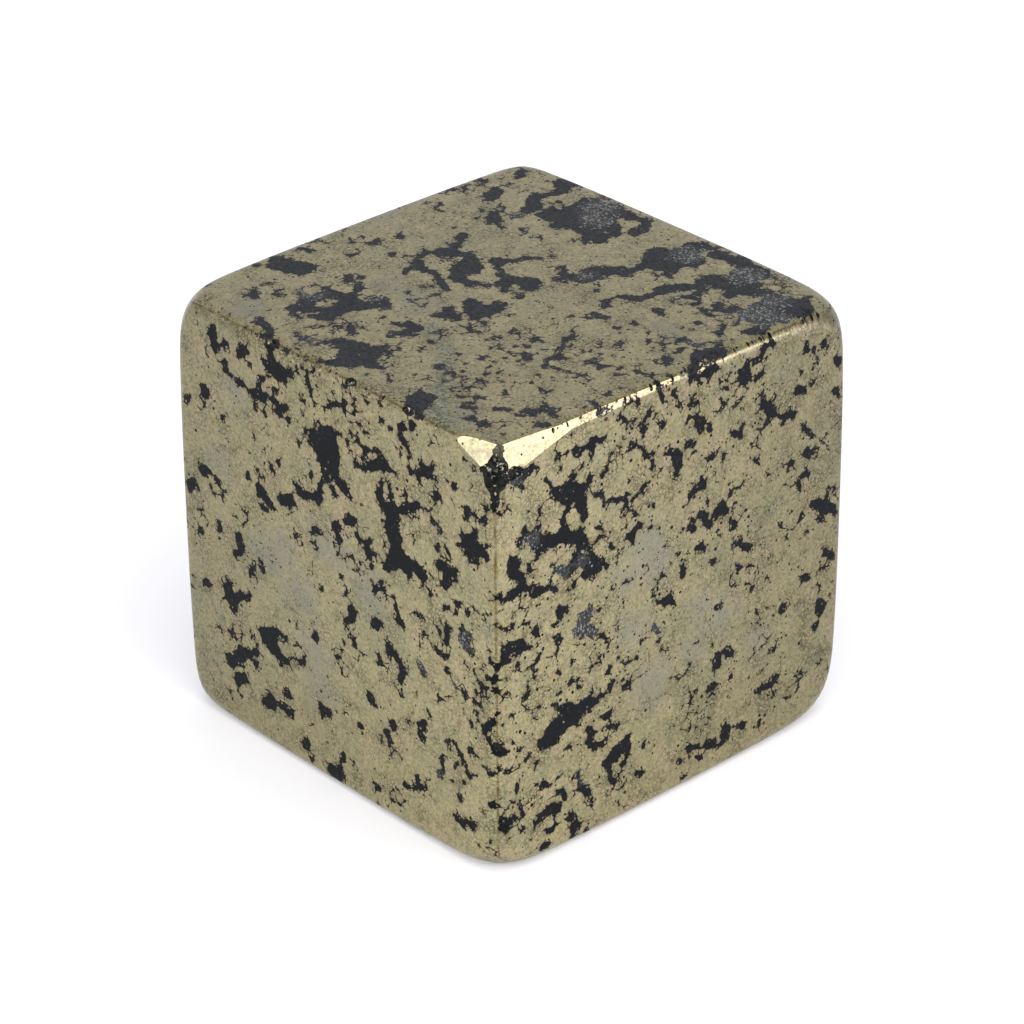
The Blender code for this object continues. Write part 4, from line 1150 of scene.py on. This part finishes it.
    def material(self) -> bpy.types.Material:
        """The finish as a Blender material.

        Returns:
            The new material.
        """
        graph = Graph("polished_pyrite")
        black, rim = self.black_and_rim(graph)
        rough = graph.blend(black, self.pyrite_roughness, self.black_roughness)
        uneven = graph.noise(self.uneven_gloss)
        sunk = graph.step(graph.stored(BLACK_DEPTH), self.sunk_black)
        relief = graph.times(graph.noise(self.relief_lumps), self.relief_share, sunk)
        looks = {
            "Base Color": graph.mix(black, self.metal(graph, rim), self.coal(graph)),
            "Metallic": graph.minus(1.0, black),
            "Roughness": graph.times(uneven, self.gloss_contrast, rough),
            "Specular IOR Level": self.gloss_level,
            "Normal": graph.bump(self.relief_strength, self.relief_height, relief),
        }
        graph.plugged(graph.shader, looks)
        return graph.material

    def on_top(self, graph: Graph, most: float = 1.0) -> Socket:
        """The share of the weathered top, up to the most; it also masks the top's painted glare and painted
        light level.
        """
        height = graph.channels(graph.place)[2]
        return graph.step(height, Step(self.top_level, self.top_level + self.top_fade, 0.0, most))

    def black_and_rim(self, graph: Graph) -> tuple[Socket, Socket]:
        """How black the surface is, and how near the metal is to the black.

        The stored marks are cut back by round lobes of pyrite, with thin black seams between the lobes, and
        stray black grains lie around them.

        Args:
            graph: The node tree.

        Returns:
            The share of black and the share of brown rim.
        """
        depth = graph.stored(BLACK_DEPTH)
        seamed = graph.greater(depth, self.seam_zone(graph, depth))
        seamed = graph.minus(seamed, graph.blend(self.on_top(graph), *self.shrink))
        for lobes in self.lobes:
            seamed = graph.plus(seamed, self.bitten(graph, lobes))
        fray = graph.blend(self.on_top(graph), *self.fray)
        seamed = graph.times(graph.noise(self.fray_lumps), fray, seamed)
        patch = graph.step(seamed, self.edge_blur)
        stray = self.strays.share(graph, graph.step(depth, self.stray_chance))
        dusty_top = self.on_top(graph, self.dust_chance_on_top)
        dust = self.dust.share(graph, graph.plus(graph.step(depth, self.dust_chance), dusty_top))
        dark = graph.greater(patch, graph.greater(stray, dust))
        frost = graph.greater(graph.stored(Film.GREY.value), self.on_top(graph, self.frost_on_top))
        frost = graph.times(frost, graph.step(graph.noise(self.frost_lumps), self.frost_edge))
        dark = graph.times(dark, graph.times(frost, -self.frost_paling, 1.0))
        gleam = self.gleams.share(graph, graph.step(depth, self.gleam_chance))
        black = graph.times(dark, graph.minus(1.0, gleam))
        return black, graph.step(seamed, self.rim_reach)

    def seam_zone(self, graph: Graph, depth: Socket) -> Socket:
        """The depth in zones of seams, which lie far from the marks too, but not on the facets.

        Args:
            graph: The node tree.
            depth: The stored depth in black.

        Returns:
            The depth, negative outside the zones.
        """
        zone = graph.step(graph.noise(self.seam_zones), self.seam_depth)
        zone = graph.plus(zone, self.on_top(graph, self.seam_depth_on_top))
        zone = graph.plus(zone, graph.step(graph.stored(EDGE_DISTANCE), self.seam_depth_at_edges))
        return graph.plus(zone, graph.step(depth, self.seam_depth_off_facets))

    def lobe_place(self, graph: Graph, lobes: Lobes) -> Socket:
        """The bent place in which the lobes are round."""
        return graph.warped(lobes.scale * self.lobe_bends, lobes.bend)

    def bitten(self, graph: Graph, lobes: Lobes) -> Socket:
        """The depth that lobes take away and that their seams add.

        Args:
            graph: The node tree.
            lobes: The lobes.

        Returns:
            The depth to add.
        """
        place = self.lobe_place(graph, lobes)
        away = graph.cells(lobes.scale, "F1", place).outputs["Distance"]
        bite = graph.times(away, lobes.cut / lobes.scale, -lobes.cut * lobes.radius)
        edge = graph.cells(lobes.scale, "DISTANCE_TO_EDGE", place).outputs["Distance"]
        seam = graph.step(edge, Step(0.0, self.seam_reach * lobes.scale, lobes.seam, 0.0))
        broken = graph.step(graph.noise(self.seam_breaks), self.seam_strength)
        return graph.times(seam, broken, bite)

    def metal(self, graph: Graph, rim: Socket) -> Socket:
        """The colour of the metal with its films, stains, brown rims and edge line; the edge line is partly
        painted shade.

        Args:
            graph: The node tree.
            rim: The share of brown rim.

        Returns:
            The colour.
        """
        greener = graph.step(graph.noise(self.green_clouds), self.green_share)
        metal = graph.mix(greener, self.pyrite, self.pyrite_green)
        metal = graph.mix(graph.step(graph.noise(self.pink_clouds), self.pink_share), metal, self.pyrite_pink)
        metal = graph.mix(self.on_top(graph, self.warm_top), metal, self.pyrite_warm)
        metal = graph.scaled(metal, graph.times(self.grain(graph), self.lightness))
        metal = graph.mix(self.bluish.share(graph), metal, self.bluish_film)
        stain = graph.mix(graph.step(graph.noise(self.green_lumps), self.green_contrast), *self.green_stains)
        metal = graph.mix(self.green.share(graph), metal, stain)
        chance = graph.times(graph.stored(Film.RUST.value), self.rust_chance, self.stray_rust)
        metal = graph.mix(self.rust.share(graph, chance), metal, self.rust_stain)
        # The brown line along the edges, partly painted shade of the rounding.
        worn = graph.step(graph.stored(EDGE_DISTANCE), self.edge_reach)
        worn = graph.times(worn, graph.step(graph.noise(self.edge_breaks), self.edge_strength))
        metal = graph.mix(worn, metal, self.edge_brown_and_shade)
        return graph.mix(rim, metal, self.rim_brown)

    def coal(self, graph: Graph) -> Socket:
        """The colour of the black mineral with its grey film, painted glare on the top face and painted
        glints.

        Args:
            graph: The node tree.

        Returns:
            The colour.
        """
        # Painted glare: the black is painted paler grey on the top face.
        top = self.on_top(graph, self.painted_top_glare)
        greyed = graph.times(graph.noise(self.black_clouds), self.black_cloud_contrast, top)
        coal = graph.mix(graph.step(greyed, self.grey_share), self.black, self.black_grey)
        coal = graph.mix(self.grey.share(graph), coal, self.grey_film)
        # Painted glints: light grey dots in the black's colour.
        chance = graph.times(graph.stored(Film.GREY.value), self.painted_glint_chance)
        return graph.mix(self.painted_glints.share(graph, chance), coal, self.painted_glint)

    def grain(self, graph: Graph) -> Socket:
        """How light the metal is: its grain with the lobes' painted rim shade, times the painted light and
        shade of the polish.

        Args:
            graph: The node tree.

        Returns:
            A factor on the colour.
        """
        sand = graph.channels(graph.cells(self.sand_grains).outputs["Color"])[0]
        tone = graph.times(sand, self.sand_contrast, self.sand_base)
        lobes = self.lobes[0]
        cells = graph.cells(lobes.scale, "F1", self.lobe_place(graph, lobes))
        kind = graph.channels(cells.outputs["Color"])[1]
        tone = graph.times(kind, self.lobe_contrast, tone)
        # Painted shade: the lobes darken towards their rims, as if they were domed.
        rim_painted_shade = -self.lobe_rim_painted_shade / lobes.scale
        tone = graph.times(cells.outputs["Distance"], rim_painted_shade, tone)
        tone = graph.times(graph.noise(self.mottling), self.mottling_contrast, tone)
        place = graph.warped(self.fine_grain, self.fine_grain_bend)
        seams = graph.cells(self.fine_grain, "DISTANCE_TO_EDGE", place).outputs["Distance"]
        dark = graph.step(graph.noise(self.fine_zones), self.fine_darkness)
        dark = graph.times(dark, graph.step(seams, self.fine_seams))
        dark = graph.times(dark, graph.step(graph.stored(BLACK_DEPTH), self.fine_seams_off_facets))
        tone = graph.times(tone, graph.minus(self.between_seams, dark))
        return graph.times(tone, self.brightness(graph))

    def brightness(self, graph: Graph) -> Socket:
        """The painted light and shade of the polish: a ramp and a painted floor reflection on the sides, one
        level on top.

        Args:
            graph: The node tree.

        Returns:
            A factor on the colour.
        """
        # Painted light: the sides are painted brighter along a direction.
        towards = graph.vector("DOT_PRODUCT", graph.place, self.painted_light_towards).outputs["Value"]
        x, _, z = graph.channels(graph.place)
        # Painted floor reflection and shade: brighter low on the right face, darker low on the front's left.
        below = graph.times(x, graph.minus(STONE.height / 2, z))
        side = graph.times(below, self.painted_low_sheen_and_shade, graph.step(towards, self.polish))
        # The top face gets one painted light level instead.
        return graph.blend(self.on_top(graph), side, self.top_painted_light)


@dataclass(frozen=True)
class BrokenFinish:
    """The rough faces that broken-away grains have left: dark mineral with pale greenish and metal grains.

    The mineral is olive around the knocked corner. The pair roughness is for the mineral and the metal.
    """

    dark: Colour = (0.010, 0.010, 0.009)
    pale: Colour = (0.17, 0.20, 0.15)
    metal: Colour = (0.42, 0.36, 0.22)
    olive: Colour = (0.105, 0.096, 0.060)
    grains: float = 9.0
    bends: float = 6.0
    bend: float = 0.08
    metal_share: float = 0.075
    pale_share: float = 0.07
    metallic: float = 0.9
    roughness: tuple[float, float] = (0.40, 0.15)
    uneven_roughness: float = 0.25
    gloss_level: float = 0.2
    corner: tuple[float, float, float] = (9.62, -9.36, 19.80)
    olive_share: Step = Step(0.30, 0.70, 1.0, 0.0)
    relief_lumps: Noise = Noise(6.0, 4.0, 0.6)
    relief_strength: float = 0.6
    relief_height: float = 0.05

    def material(self) -> bpy.types.Material:
        """The finish as a Blender material.

        Returns:
            The new material.
        """
        graph = Graph("broken_grains")
        cells = graph.cells(self.grains, "F1", graph.warped(self.bends, self.bend))
        kind, tone, _ = graph.channels(cells.outputs["Color"])
        shiny = graph.math("LESS_THAN", kind, self.metal_share)
        pale = graph.math("GREATER_THAN", kind, 1.0 - self.pale_share)
        away = graph.vector("DISTANCE", graph.place, self.corner).outputs["Value"]
        colour = graph.mix(graph.step(away, self.olive_share), self.dark, self.olive)
        colour = graph.mix(shiny, colour, self.metal)
        rough = graph.blend(shiny, *self.roughness)
        relief = graph.noise(self.relief_lumps)
        looks = {
            "Base Color": graph.mix(pale, colour, self.pale),
            "Metallic": graph.times(shiny, self.metallic),
            "Roughness": graph.times(tone, self.uneven_roughness, rough),
            "Specular IOR Level": self.gloss_level,
            "Normal": graph.bump(self.relief_strength, self.relief_height, relief),
        }
        graph.plugged(graph.shader, looks)
        return graph.material


@dataclass(frozen=True)
class LostGrain:
    """A grain of stone that has broken away.

    Attributes:
        middle: Where it sat, in millimetres.
        half_sizes: How far it reached from there along each axis.
        roughness: How far its lumps stand out, as a share of its size.
        pitch: How many lumps there are in its half size.
        fine_roughness: The same for its finer lumps.
        fine_pitch: The same for their number.
        subdivisions: How finely its surface is cut.
    """

    middle: tuple[float, float, float]
    half_sizes: tuple[float, float, float]
    roughness: float = 0.28
    pitch: float = 2.3
    fine_roughness: float = 0.16
    fine_pitch: float = 6.0
    subdivisions: int = 4

    def cutter(self, finish: bpy.types.Material) -> bpy.types.Object:
        """The lumpy closed shape that takes the grain out of the stone.

        Args:
            finish: What the broken faces are made of.

        Returns:
            A new object.
        """
        select_none()
        bpy.ops.mesh.primitive_ico_sphere_add(subdivisions=self.subdivisions, radius=1.0)
        grain = bpy.context.object
        seed = Vector(self.middle)
        for vertex in grain.data.vertices:
            lumps = self.roughness * noise.noise(vertex.co * self.pitch + seed)
            lumps += self.fine_roughness * noise.noise(vertex.co * self.fine_pitch + seed)
            vertex.co *= 1.0 + lumps
        shape = Matrix.Scale(MM, 4) @ Matrix.Translation(seed) @ Matrix.Diagonal((*self.half_sizes, 1.0))
        grain.data.transform(shape)
        grain.data.materials.append(finish)
        return grain


@dataclass(frozen=True)
class EdgeNicks:
    """Tiny nicks along one straight edge of the stone, placed by chance.

    Attributes:
        start: Where the row begins, in millimetres.
        end: Where it ends.
        count: How many stretches the row has.
        seed: What their chance starts from.
        depth: The least and greatest half size across the edge.
        stretch: The least and greatest half size along the edge, as a share of the one across it.
        share: The share of the stretches that hold a nick.
        margin: How far a nick's middle stays inside its stretch, as a share of it.
        room: The most of the way to its stretch's end that a nick reaches.
    """

    start: tuple[float, float, float]
    end: tuple[float, float, float]
    count: int
    seed: int
    depth: tuple[float, float] = (0.10, 0.20)
    stretch: tuple[float, float] = (0.45, 1.5)
    share: float = 0.7
    margin: float = 0.12
    room: float = 0.8

    def grains(self) -> list[LostGrain]:
        """The nicks as lost grains, at most one in each equal stretch of the edge, so that no two touch.

        Returns:
            The lost grains.
        """
        chance = np.random.default_rng(self.seed)
        start, end = np.array(self.start), np.array(self.end)
        along = np.abs(end - start) / np.linalg.norm(end - start)
        spacing = np.linalg.norm(end - start) / self.count
        nicks = []
        for place in range(self.count):
            within = chance.uniform(self.margin, 1.0 - self.margin)
            present = chance.random() < self.share
            across = chance.uniform(*self.depth)
            limit = self.room * spacing * min(within, 1.0 - within)
            length = min(across * chance.uniform(*self.stretch), limit)
            if present:
                middle = start + (place + within) / self.count * (end - start)
                sizes = across + along * (length - across)
                nicks.append(LostGrain(tuple(middle.tolist()), tuple(sizes.tolist()), subdivisions=2))
        return nicks


@dataclass(frozen=True)
class Facet:
    """A flat cut at the knocked corner or along an edge.

    Attributes:
        point: A point on its plane, in millimetres.
        facing: The way it faces.
        scar: How deep it cuts, in metres, where it takes the marks away; at first, wherever it cuts.
    """

    point: tuple[float, float, float]
    facing: tuple[float, float, float]
    scar: float = -SNAP


@dataclass
class PyriteCube:
    """The stone: a worn cube with its facets, broken places and marks.

    Attributes:
        marks: The marks of its surface.
        facets: The flat cuts at the knocked corner.
        grains: The grains that have broken away.
        nicks: Rows of tiny nicks along its edges.
        edge_rows: Distances of the grid lines near an edge, in millimetres.
        pitch: The distance between the other grid lines.
        fine_reaches: How near to a mark's edge the grid is halved, once for each number, in millimetres.
        facet_depth: The greatest depth in black on a facet.
        facet_distance: How far from an edge a facet counts as lying.
        smooth_angle: Faces that meet at less than this are shaded as one.
    """

    marks: MarkField
    facets: tuple[Facet, ...] = (
        Facet((9.68, -8.60, 19.80), (1.0, -0.073, 0.252)),
        Facet((9.86, -5.50, 19.695), (0.92, -0.007, 0.39), scar=0.09 * MM),
        Facet((9.00, -9.93, 19.08), (0.26, -1.0, 0.60)),
    )
    grains: tuple[LostGrain, ...] = (
        LostGrain((9.92, -9.92, 18.80), (0.72, 0.72, 0.85)),
        LostGrain((9.97, -9.97, 17.80), (0.30, 0.30, 0.85)),
        LostGrain((10.05, -9.00, 18.55), (0.30, 0.55, 0.28)),
        LostGrain((9.66, -9.48, 19.62), (0.25, 0.27, 0.36)),
        LostGrain((-3.40, -9.98, 19.80), (0.50, 0.28, 0.30)),
        LostGrain((1.45, -10.00, 19.82), (0.32, 0.30, 0.30)),
        LostGrain((4.90, -10.00, 19.82), (0.42, 0.26, 0.28)),
        LostGrain((10.00, -4.30, 19.82), (0.24, 0.16, 0.24)),
        LostGrain((10.00, -1.15, 19.82), (0.26, 0.20, 0.26)),
        LostGrain((10.02, 1.45, 19.84), (0.30, 0.75, 0.30)),
        LostGrain((3.60, 10.00, 19.82), (0.60, 0.28, 0.30)),
        LostGrain((-10.00, 4.10, 19.82), (0.28, 0.50, 0.28)),
        LostGrain((9.96, -9.96, 6.40), (0.26, 0.26, 0.34)),
        LostGrain((-9.98, 9.98, 12.60), (0.30, 0.30, 0.55)),
    )
    nicks: tuple[EdgeNicks, ...] = (
        EdgeNicks((-2.8, -9.94, 19.77), (7.2, -9.94, 19.77), count=19, seed=5),
        EdgeNicks((9.90, 2.4, 19.71), (9.84, 6.4, 19.64), count=13, seed=7),
        EdgeNicks((9.83, 6.6, 19.63), (9.76, 8.8, 19.56), count=6, seed=8),
        EdgeNicks((9.95, -7.2, 19.62), (9.95, 1.0, 19.70), count=15, seed=9),
    )
    edge_rows: tuple[float, ...] = (0.04, 0.08, 0.127, 0.176, 0.22, 0.26, 0.30, 0.42, 0.62, 0.86)
    pitch: float = 0.38
    fine_reaches: tuple[float, ...] = (0.17, 0.055)
    facet_depth: float = -1.3
    facet_distance: float = 1.0
    smooth_angle: float = math.radians(28.0)

    def build(self) -> bpy.types.Object:
        """Makes the stone's mesh, shaped and marked.

        Returns:
            The new object, with no finish yet on its polished faces.
        """
        stone = self.gridded_cube()
        for reach in self.fine_reaches:
            self.refine(stone, reach)
        self.store_marks(stone)
        self.wear(stone)
        for facet in self.facets:
            self.trim(stone, facet)
        return stone

    def gridded_cube(self) -> bpy.types.Object:
        """A sharp cube about the origin with grid lines cut into its faces.

        Returns:
            The new object.
        """
        select_none()
        bpy.ops.mesh.primitive_cube_add(size=STONE.side * MM)
        stone = bpy.context.object
        stone.name = stone.data.name = "polished_pyrite_stone"
        half = STONE.side / 2
        steps = round((half - self.edge_rows[-1]) / self.pitch)
        inner = np.linspace(half - self.edge_rows[-1], 0.0, steps + 1)[1:]
        distances = [half - row for row in self.edge_rows] + inner.tolist()
        offsets = sorted({0.0, *distances, *(-value for value in distances)})
        bpy.ops.object.mode_set(mode="EDIT")
        for axis in range(3):
            across = Vector([float(axis == k) for k in range(3)])
            for offset in offsets:
                bpy.ops.mesh.select_all(action="SELECT")
                bpy.ops.mesh.bisect(plane_co=across * offset * MM, plane_no=across, threshold=SNAP)
        bpy.ops.object.mode_set(mode="OBJECT")
        return stone

    def refine(self, stone: bpy.types.Object, reach: float) -> None:
        """Halves the grid around the edges of the black marks.

        Args:
            stone: The sharp cube.
            reach: How near to a mark's edge a face is halved, in millimetres.
        """
        middles = np.empty(len(stone.data.polygons) * 3, np.float32)
        stone.data.polygons.foreach_get("center", middles)
        depth = self.marks.black_depth(self.standing(middles.reshape(-1, 3) / MM))
        chosen = np.abs(depth) < reach
        bpy.ops.object.mode_set(mode="EDIT")
        bpy.ops.mesh.select_all(action="DESELECT")
        bpy.context.tool_settings.mesh_select_mode = (False, False, True)
        editing = bmesh.from_edit_mesh(stone.data)
        for face, picked in zip(editing.faces, chosen.tolist()):
            face.select_set(picked)
        bmesh.update_edit_mesh(stone.data)
        bpy.ops.mesh.subdivide(number_cuts=1)
        bpy.ops.object.mode_set(mode="OBJECT")

    @staticmethod
    def standing(points: np.ndarray) -> np.ndarray:
        """Points of the centred cube, stood on z = 0 at the stone's height."""
        x, y, z = points.astype(float).T
        return np.stack([x, y, STONE.standing(z)], axis=1)

    @staticmethod
    def points(stone: bpy.types.Object) -> np.ndarray:
        """The places of the mesh's points, in millimetres.

        Args:
            stone: The stone.

        Returns:
            One point a row.
        """
        places = np.empty(len(stone.data.vertices) * 3, np.float32)
        stone.data.vertices.foreach_get("co", places)
        return places.reshape(-1, 3).astype(float) / MM

    def store_marks(self, stone: bpy.types.Object) -> None:
        """Writes the marks, and how far each point lies from the nearest edge, to the sharp cube's points.

        Args:
            stone: The sharp cube.
        """
        places = self.standing(self.points(stone))
        self.store(stone, BLACK_DEPTH, self.marks.black_depth(places))
        for film in Film:
            self.store(stone, film.value, self.marks.film(places, film))
        self.store(stone, EDGE_DISTANCE, self.edge_distance(self.points(stone)))

    @staticmethod
    def edge_distance(points: np.ndarray) -> np.ndarray:
        """How far each point of the centred sharp cube lies from the nearest edge, in millimetres."""
        inward = np.sort(STONE.side / 2 - np.abs(points), axis=1)
        return np.hypot(inward[:, 0], inward[:, 1])

    @staticmethod
    def store(stone: bpy.types.Object, name: str, values: np.ndarray) -> None:
        """Writes one number a point to the mesh."""
        attribute = stone.data.attributes.new(name, "FLOAT", "POINT")
        attribute.data.foreach_set("value", values.astype(np.float32))

    def wear(self, stone: bpy.types.Object) -> None:
        """Moves the sharp cube's points to the worn surface.

        Args:
            stone: The sharp cube.
        """
        places = STONE.worn(self.points(stone)) * MM
        stone.data.vertices.foreach_set("co", places.astype(np.float32).ravel())
        stone.data.update()

    def trim(self, stone: bpy.types.Object, facet: Facet) -> None:
        """Flattens what stands beyond a facet's plane, with a crisp edge around it.

        Args:
            stone: The worn stone.
            facet: The cut.
        """
        middle = Vector(facet.point) * MM
        outward = Vector(facet.facing).normalized()
        activate(stone)
        bpy.ops.object.mode_set(mode="EDIT")
        bpy.ops.mesh.select_all(action="SELECT")
        bpy.ops.mesh.bisect(plane_co=middle, plane_no=outward, threshold=SNAP)
        bpy.ops.mesh.mark_sharp()
        bpy.ops.object.mode_set(mode="OBJECT")
        depth = stone.data.attributes[BLACK_DEPTH].data
        edge = stone.data.attributes[EDGE_DISTANCE].data
        for vertex in stone.data.vertices:
            beyond = (vertex.co - middle).dot(outward)
            if beyond > -SNAP:
                vertex.co -= outward * max(beyond, 0.0)
                edge[vertex.index].value = self.facet_distance
                if beyond > facet.scar:
                    depth[vertex.index].value = min(depth[vertex.index].value, self.facet_depth)

    def dress(self, stone: bpy.types.Object) -> None:
        """Gives the stone its finishes and takes out the lost grains.

        Args:
            stone: The built stone.
        """
        stone.data.materials.append(PyriteFinish().material())
        broken = BrokenFinish().material()
        surface = kdtree.KDTree(len(stone.data.vertices))
        for vertex in stone.data.vertices:
            surface.insert(vertex.co, vertex.index)
        surface.balance()
        names = [BLACK_DEPTH, EDGE_DISTANCE, *(film.value for film in Film)]
        before = {name: self.stored(stone, name) for name in names}
        cutter = self.joined_cutter(broken)
        activate(stone)
        cut = stone.modifiers.new("lost_grains", "BOOLEAN")
        cut.operation = "DIFFERENCE"
        cut.solver = "EXACT"
        cut.material_mode = "TRANSFER"
        cut.object = cutter
        bpy.ops.object.modifier_apply(modifier=cut.name)
        bpy.data.objects.remove(cutter)
        nearest = [surface.find(vertex.co)[1] for vertex in stone.data.vertices]
        for name in names:
            stone.data.attributes.remove(stone.data.attributes[name])
            self.store(stone, name, before[name][nearest])
        activate(stone)
        bpy.ops.object.shade_smooth_by_angle(angle=self.smooth_angle)

    def joined_cutter(self, finish: bpy.types.Material) -> bpy.types.Object:
        """All the lost grains and nicks as one closed shape, with those that overlap made one.

        Args:
            finish: What the broken faces are made of.

        Returns:
            The new object.
        """
        pit, *others = [grain.cutter(finish) for grain in self.grains]
        nicks = [nick.cutter(finish) for row in self.nicks for nick in row.grains()]
        activate(nicks[0])
        for nick in nicks:
            nick.select_set(True)
        bpy.ops.object.join()
        for other in (*others, nicks[0]):
            activate(pit)
            union = pit.modifiers.new("grain", "BOOLEAN")
            union.operation = "UNION"
            union.solver = "EXACT"
            union.object = other
            bpy.ops.object.modifier_apply(modifier=union.name)
            bpy.data.objects.remove(other)
        return pit

    @staticmethod
    def stored(stone: bpy.types.Object, name: str) -> np.ndarray:
        """The numbers that the mesh stores at its points under a name.

        Args:
            stone: The stone.
            name: The name.

        Returns:
            One number a point.
        """
        values = np.empty(len(stone.data.vertices), np.float32)
        stone.data.attributes[name].data.foreach_get("value", values)
        return values


def select_none() -> None:
    """Leaves nothing selected."""
    bpy.ops.object.select_all(action="DESELECT")


def activate(piece: bpy.types.Object) -> None:
    """Makes one object the only one selected, and the active one.

    Args:
        piece: The object.
    """
    select_none()
    piece.select_set(True)
    bpy.context.view_layer.objects.active = piece


COOL_LIGHT: Colour = (1.0, 0.96, 1.18)
WARM_LIGHT: Colour = (1.05, 1.0, 0.93)


@dataclass(frozen=True)
class Softbox:
    """A square-cornered soft light, seen in the polish where it is mirrored.

    Attributes:
        azimuth: The direction to it, in degrees from +X towards +Y.
        elevation: Its height over the horizon, in degrees.
        distance: How far it stands from the stone, in millimetres.
        width: Its width in millimetres.
        height: Its height in millimetres.
        glow: Its brightness against a white sky.
        colour: Its colour.
    """

    azimuth: float
    elevation: float
    distance: float
    width: float
    height: float
    glow: float
    colour: Colour = COOL_LIGHT

    def build(self, name: str) -> bpy.types.Object:
        """Makes the light, facing the stone's middle.

        Args:
            name: The light's name.

        Returns:
            The new light.
        """
        light = bpy.data.lights.new(name, "AREA")
        light.shape = "RECTANGLE"
        light.color = self.colour
        light.size = self.width * MM
        light.size_y = self.height * MM
        light.energy = self.glow * math.pi * light.size * light.size_y
        lamp = bpy.data.objects.new(name, light)
        bpy.context.collection.objects.link(lamp)
        turn, lift = math.radians(self.azimuth), math.radians(self.elevation)
        outward = Vector((math.cos(turn) * math.cos(lift), math.sin(turn) * math.cos(lift), math.sin(lift)))
        middle = Vector((0.0, 0.0, STONE.height / 2))
        facing = outward.to_track_quat("Z", "Y").to_matrix().to_4x4()
        lamp.matrix_world = Matrix.Translation((middle + outward * self.distance) * MM) @ facing
        return lamp


@dataclass(frozen=True)
class Studio:
    """A plain pale floor under a white sky, with three softboxes."""

    floor_side: float = 3000.0
    floor_colour: Colour = (0.82, 0.82, 0.82)
    floor_glow: float = 0.22
    glow_colour: Colour = (1.0, 1.0, 1.0)
    floor_roughness: float = 0.9
    floor_gloss: float = 0.1
    sky: Colour = (0.97, 0.99, 1.07)
    sky_strength: float = 0.82
    softboxes: tuple[Softbox, ...] = (
        Softbox(25.0, 9.9, distance=117.0, width=72.0, height=57.0, glow=4.3),
        Softbox(-109.0, 22.0, distance=300.0, width=110.0, height=130.0, glow=4.0),
        Softbox(-30.0, 58.0, distance=170.0, width=120.0, height=120.0, glow=2.6, colour=WARM_LIGHT),
    )

    def build(self) -> None:
        """Makes the floor, the sky and the lights."""
        select_none()
        bpy.ops.mesh.primitive_plane_add(size=self.floor_side * MM)
        floor = bpy.context.object
        floor.name = floor.data.name = "studio_floor"
        paper = bpy.data.materials.new("white_paper")
        paper.use_nodes = True
        shader = paper.node_tree.nodes["Principled BSDF"]
        shader.inputs["Base Color"].default_value = (*self.floor_colour, 1.0)
        shader.inputs["Roughness"].default_value = self.floor_roughness
        shader.inputs["Specular IOR Level"].default_value = self.floor_gloss
        shader.inputs["Emission Color"].default_value = (*self.glow_colour, 1.0)
        shader.inputs["Emission Strength"].default_value = self.floor_glow
        floor.data.materials.append(paper)
        world = bpy.data.worlds.new("white_sky")
        bpy.context.scene.world = world
        world.use_nodes = True
        background = world.node_tree.nodes["Background"]
        background.inputs["Color"].default_value = (*self.sky, 1.0)
        background.inputs["Strength"].default_value = self.sky_strength
        for number, softbox in enumerate(self.softboxes):
            softbox.build(f"softbox_{number}")
        bpy.context.scene.view_settings.view_transform = "Standard"


@dataclass(frozen=True)
class Viewpoint:
    """The camera: where it looks, from which way, how far off, and through which lens.

    Angles are in degrees, the azimuth from -Y towards +X, and lengths in millimetres, but clip is in metres.
    """

    target: tuple[float, float, float] = (0.6863, -0.6040, 10.0)
    azimuth: float = 47.656
    elevation: float = 28.774
    distance: float = 174.526
    roll: float = -0.4385
    lens: float = 145.05
    sensor: float = 36.0
    clip: tuple[float, float] = (0.01, 10.0)

    def build(self) -> bpy.types.Object:
        """Makes the camera and looks through it.

        Returns:
            The camera.
        """
        turn, lift, roll = (math.radians(angle) for angle in (self.azimuth, self.elevation, self.roll))
        backward = Vector((math.sin(turn) * math.cos(lift), -math.cos(turn) * math.cos(lift), math.sin(lift)))
        level_right = Vector((math.cos(turn), math.sin(turn), 0.0))
        level_up = backward.cross(level_right)
        right = level_right * math.cos(roll) + level_up * math.sin(roll)
        up = level_up * math.cos(roll) - level_right * math.sin(roll)
        optics = bpy.data.cameras.new("camera")
        optics.lens = self.lens
        optics.sensor_width = self.sensor
        optics.clip_start, optics.clip_end = self.clip
        camera = bpy.data.objects.new("camera", optics)
        bpy.context.collection.objects.link(camera)
        place = (Vector(self.target) + backward * self.distance) * MM
        camera.matrix_world = Matrix.Translation(place) @ Matrix((right, up, backward)).transposed().to_4x4()
        bpy.context.scene.camera = camera
        return camera


def all_marks() -> MarkField:
    """The marks of all six faces: three listed bead by bead, three grown by chance.

    Returns:
        The marks.
    """
    return MarkField(
        faces=(
            FRONT_MARKS,
            RIGHT_MARKS,
            TOP_MARKS,
            WildMarks().on(Side.BACK, seed=11),
            WildMarks().on(Side.LEFT, seed=23),
            WildMarks().on(Side.BOTTOM, seed=37),
        )
    )


def report(piece: bpy.types.Object) -> None:
    """Logs a piece's name and how many points and faces it has."""
    log.info("%s: %d points, %d faces", piece.name, len(piece.data.vertices), len(piece.data.polygons))


def main() -> None:
    """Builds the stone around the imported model, with its studio."""
    logging.basicConfig(level=logging.INFO, format="%(name)s: %(message)s")
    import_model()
    Viewpoint().build()
    Studio().build()
    cube = PyriteCube(all_marks())
    stone = cube.build()
    cube.dress(stone)
    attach(stone, BODY)
    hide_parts(NODE)
    report(stone)


if __name__ == "__main__":
    main()
